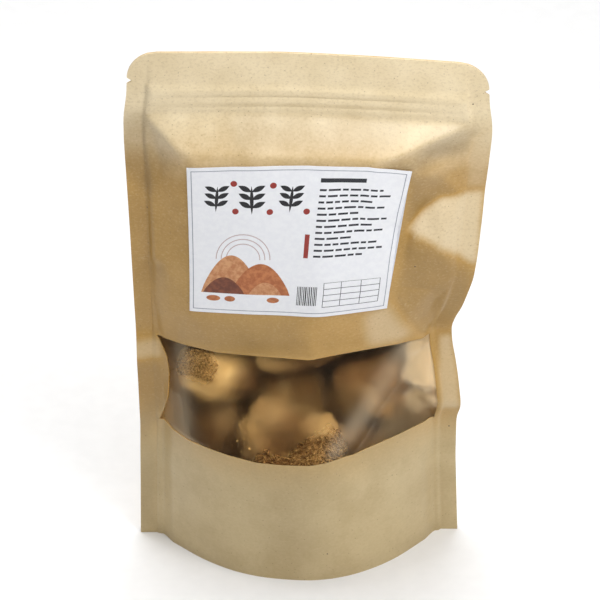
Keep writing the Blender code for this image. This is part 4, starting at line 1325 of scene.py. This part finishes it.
# Crumbs that lie against the film: (x, height, half size).
CRUMBS = [
    (-31.5, 71.5, 0.6), (-28.2, 73.6, 0.4), (-25.8, 69.8, 0.7), (-33.8, 69.6, 0.3),
    (-29.6, 67.4, 0.4), (19.5, 72.0, 0.4), (22.6, 75.5, 0.3), (13.0, 78.5, 0.3),
    (-3.5, 82.0, 0.25), (30.0, 86.5, 0.25),
]
CRUMB = [(1, 0, 0.2), (-1, 0, 0), (0, 0.8, 0), (0, -0.8, 0.2), (0.2, 0, 1), (0, 0.2, -1)]
CRUMB_FACES = [
    face for a, b in ((0, 2), (2, 1), (1, 3), (3, 0)) for face in ([a, b, 4], [b, a, 5])
]


def flat_place(x, z):
    """The flat (s, t) behind standing places (x, z), held between the film's ends."""
    t = np.clip(z, 0, POUCH_HEIGHT)
    for _ in range(4):
        left, right = rounded(LEFT_EDGE, t), rounded(RIGHT_EDGE, t)
        s = np.clip(-HALF + (x - left) / (right - left) * POUCH_WIDTH, -FILM_END, FILM_END)
        t = np.clip(z * POUCH_HEIGHT / top_height(s), 0, POUCH_HEIGHT)
    return s, t


def held_inside(points, front, back, clearance):
    s, t = flat_place(points[:, 0], points[:, 2])
    points[:, 1] = np.maximum(points[:, 1], -panel_depth(front, s, t) + clearance)
    points[:, 1] = np.minimum(points[:, 1], -panel_depth(back, s, t, back=True) - clearance)
    return points


def pale_at(name, point, paleness):
    # The patches paint shade and light over the mushroom's own paleness.
    for centre, radius, pale in PATCHES.get(name, ()):
        share = math.exp(-(((point - Vector(centre)).length / radius) ** 2))
        paleness += (pale - paleness) * min(1.3 * share, 1)
    return paleness


def mushroom_body(name, axis, shift):
    """A lumpy ball: its points, their normals, its faces, and how spiny it is at each point."""
    centre, half_sizes, _ = MUSHROOMS[name]
    _, subdivisions, spiny_from, *_ = DETAIL[name]
    ball = bmesh.new()
    bmesh.ops.create_icosphere(ball, subdivisions=subdivisions, radius=1)
    spiny = []
    for vert in ball.verts:
        way = vert.co.copy()
        facing = way.dot(axis) + 0.35 * noise.noise(way * 1.7 + shift)
        swell = 1 + 0.12 * noise.noise(way * 1.6 + shift) + 0.06 * noise.noise(way * 4 + shift)
        swell += 0.018 * noise.noise(way * 11 + shift) + 0.006 * noise.noise(way * 30 + shift)
        if facing < -0.8:
            swell *= max(0.8 / -facing, 0.8)
        spiny.append(min(max((facing - spiny_from) / 0.25, 0), 1))
        vert.co = Vector([way[k] * swell * half_sizes[k] + centre[k] for k in range(3)])
    for dent, radius, deep in DENTS.get(name, ()):
        for vert in ball.verts:
            off = (vert.co - Vector(dent)).length / radius
            if off < 1.6:
                inward = (Vector(centre) - vert.co).normalized()
                vert.co += inward * deep * math.exp(-((off * 1.3) ** 2))
    ball.normal_update()
    points = [vert.co.copy() for vert in ball.verts]
    normals = [vert.normal.copy() for vert in ball.verts]
    faces = [[vert.index for vert in face.verts] for face in ball.faces]
    ball.free()
    if name in SPINY_UP_TO:
        top = SPINY_UP_TO[name]
        spiny = [share * min(max((top - point.z) / 5, 0), 1) for share, point in zip(spiny, points)]
    return points, normals, faces, spiny


def spine_points(base, out, droop, length, width):
    side = droop.cross(Vector((0.3, 0.5, 0.8))).normalized()
    other = droop.cross(side)
    points = []
    for step, share in enumerate(SPINE_RINGS):
        bend = out * (0.25 * step * (2 - step)) + droop * (length * step / 3)
        for k in range(4):
            angle = math.pi / 2 * k
            round_it = (side * math.cos(angle) + other * math.sin(angle)) * width * share
            points.append(base + bend + round_it)
    return [*points, base + droop * length]


def crumb_points(front, rng, x, z, size):
    s, t = flat_place(np.array([x]), np.array([z]))
    y = 0.5 + size - float(panel_depth(front, s, t)[0])
    bumps = np.array([[rng.gauss(0, 0.25) for _ in range(3)] for _ in CRUMB])
    return (CRUMB + bumps) * size + (x, y, z)


def add_mushroom(name, front, back, finish):
    spine_count, _, _, paleness, spine_size, gap = DETAIL[name]
    seed = int(name.rsplit("_", 1)[1])
    rng = random.Random(seed)
    axis = Vector(MUSHROOMS[name][2]).normalized()
    shift = Vector((seed * 3.1, seed * 1.7, seed * 5.3))
    points, normals, faces, spiny = mushroom_body(name, axis, shift)
    shares = list(spiny)
    clearance = [gap + 1.3] * len(points)
    pales = [pale_at(name, point, paleness) for point in points]
    # Under its spines the skin takes a dark spine colour: painted shade among the spines.
    tones = [pale * (0.3 + 0.3 * noise.noise(point * 0.2)) for pale, point in zip(pales, points)]

    likely = [i for i, share in enumerate(spiny) if share > 0.3]
    for root in rng.choices(likely, k=spine_count):
        out, pale = normals[root], pales[root]
        along_skin = Vector((rng.gauss(0, 1), rng.gauss(0, 1), rng.gauss(0, 1)))
        droop = out * 0.55 + along_skin * 0.4 + Vector((0, 0, -0.5)) - axis * 0.25
        droop.normalize()
        length = rng.uniform(2.2, 5.0) * spiny[root] * spine_size
        width = rng.uniform(0.24, 0.46) * (0.5 + 0.5 * spine_size)
        tone = min(max(rng.gauss(0.35 + 0.35 * pale, 0.32), 0), 1) * (0.4 + 0.6 * min(pale, 1))
        base = points[root] + along_skin * 0.3 - out * 0.4
        start = len(points)
        spine = spine_points(base, out, droop, length, width)
        points += spine
        faces += [[start + corner for corner in face] for face in SPINE_FACES]
        shares += [1.0] * len(spine)
        # Each spine is painted dark at its root and pale at its tip: painted shade among the spines.
        tones += [tone * 0.2] * 4 + [tone * 0.65] * 4 + [tone] * 5
        pales += [pale] * len(spine)
        clearance += [gap + rng.uniform(0, 1.2)] * len(spine)
    points = np.array([tuple(point) for point in points])
    whole = len(points)
    for crumb in CRUMBS if name == "mushroom_1" else ():
        start = len(points)
        points = np.concatenate([points, crumb_points(front, rng, *crumb)])
        faces += [[start + corner for corner in face] for face in CRUMB_FACES]
        shares += [1.0] * len(CRUMB)
        tones += [rng.uniform(0.8, 1)] * len(CRUMB)
        pales += [1.0] * len(CRUMB)
        clearance += [0.3] * len(CRUMB)
    points = held_inside(points, front, back, np.array(clearance))
    piece = smooth_object(name + "_dried", points * MM, faces, [finish])
    for share_name, values in (("spiny", shares), ("tone", tones), ("pale", pales)):
        set_share(piece, share_name, values)
    ride_for(piece, name)
    return points[:whole]


# ---------------------------------------------------------------- putting it together


def main():
    add_camera()
    add_light()
    kraft = kraft_material()
    film = film_material()
    dried = mushroom_material()
    zip_plastic = zip_material()
    inks = {
        "white": print_material("label_white", (0.89, 0.90, 0.93), (0.85, 0.86, 0.90)),
        "grey": print_material("ink_grey", (0.33, 0.34, 0.40)),
        "ink": print_material("ink_dark", (0.022, 0.024, 0.032)),
        "black": print_material("ink_black", (0.015, 0.015, 0.018)),
        "red": print_material("ink_red", (0.33, 0.035, 0.025)),
        "pink": print_material("ink_pink", (0.55, 0.42, 0.42)),
        "brown": print_material("ink_brown", (0.55, 0.20, 0.07), (0.40, 0.12, 0.04)),
        "amber": print_material("ink_amber", (0.66, 0.34, 0.16), (0.50, 0.20, 0.08)),
        "umber": print_material("ink_umber", (0.14, 0.04, 0.02), (0.24, 0.07, 0.03)),
    }
    front, back = front_field(), back_field()
    add_front_paper(front, kraft)
    add_back_paper(back, kraft)
    add_bottom_fold(front, back, kraft)
    add_label(front, inks)
    contents = np.concatenate([add_mushroom(name, front, back, dried) for name in MUSHROOMS])
    add_film(front, film, contents)
    for name in ("zip_strip_front", "zip_strip_back"):
        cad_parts[name].data.materials.clear()
        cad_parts[name].data.materials.append(zip_plastic)
    bpy.ops.mesh.primitive_plane_add(size=8)
    floor = bpy.context.object
    floor.name = "floor"
    floor.data.materials.append(floor_material())


main()
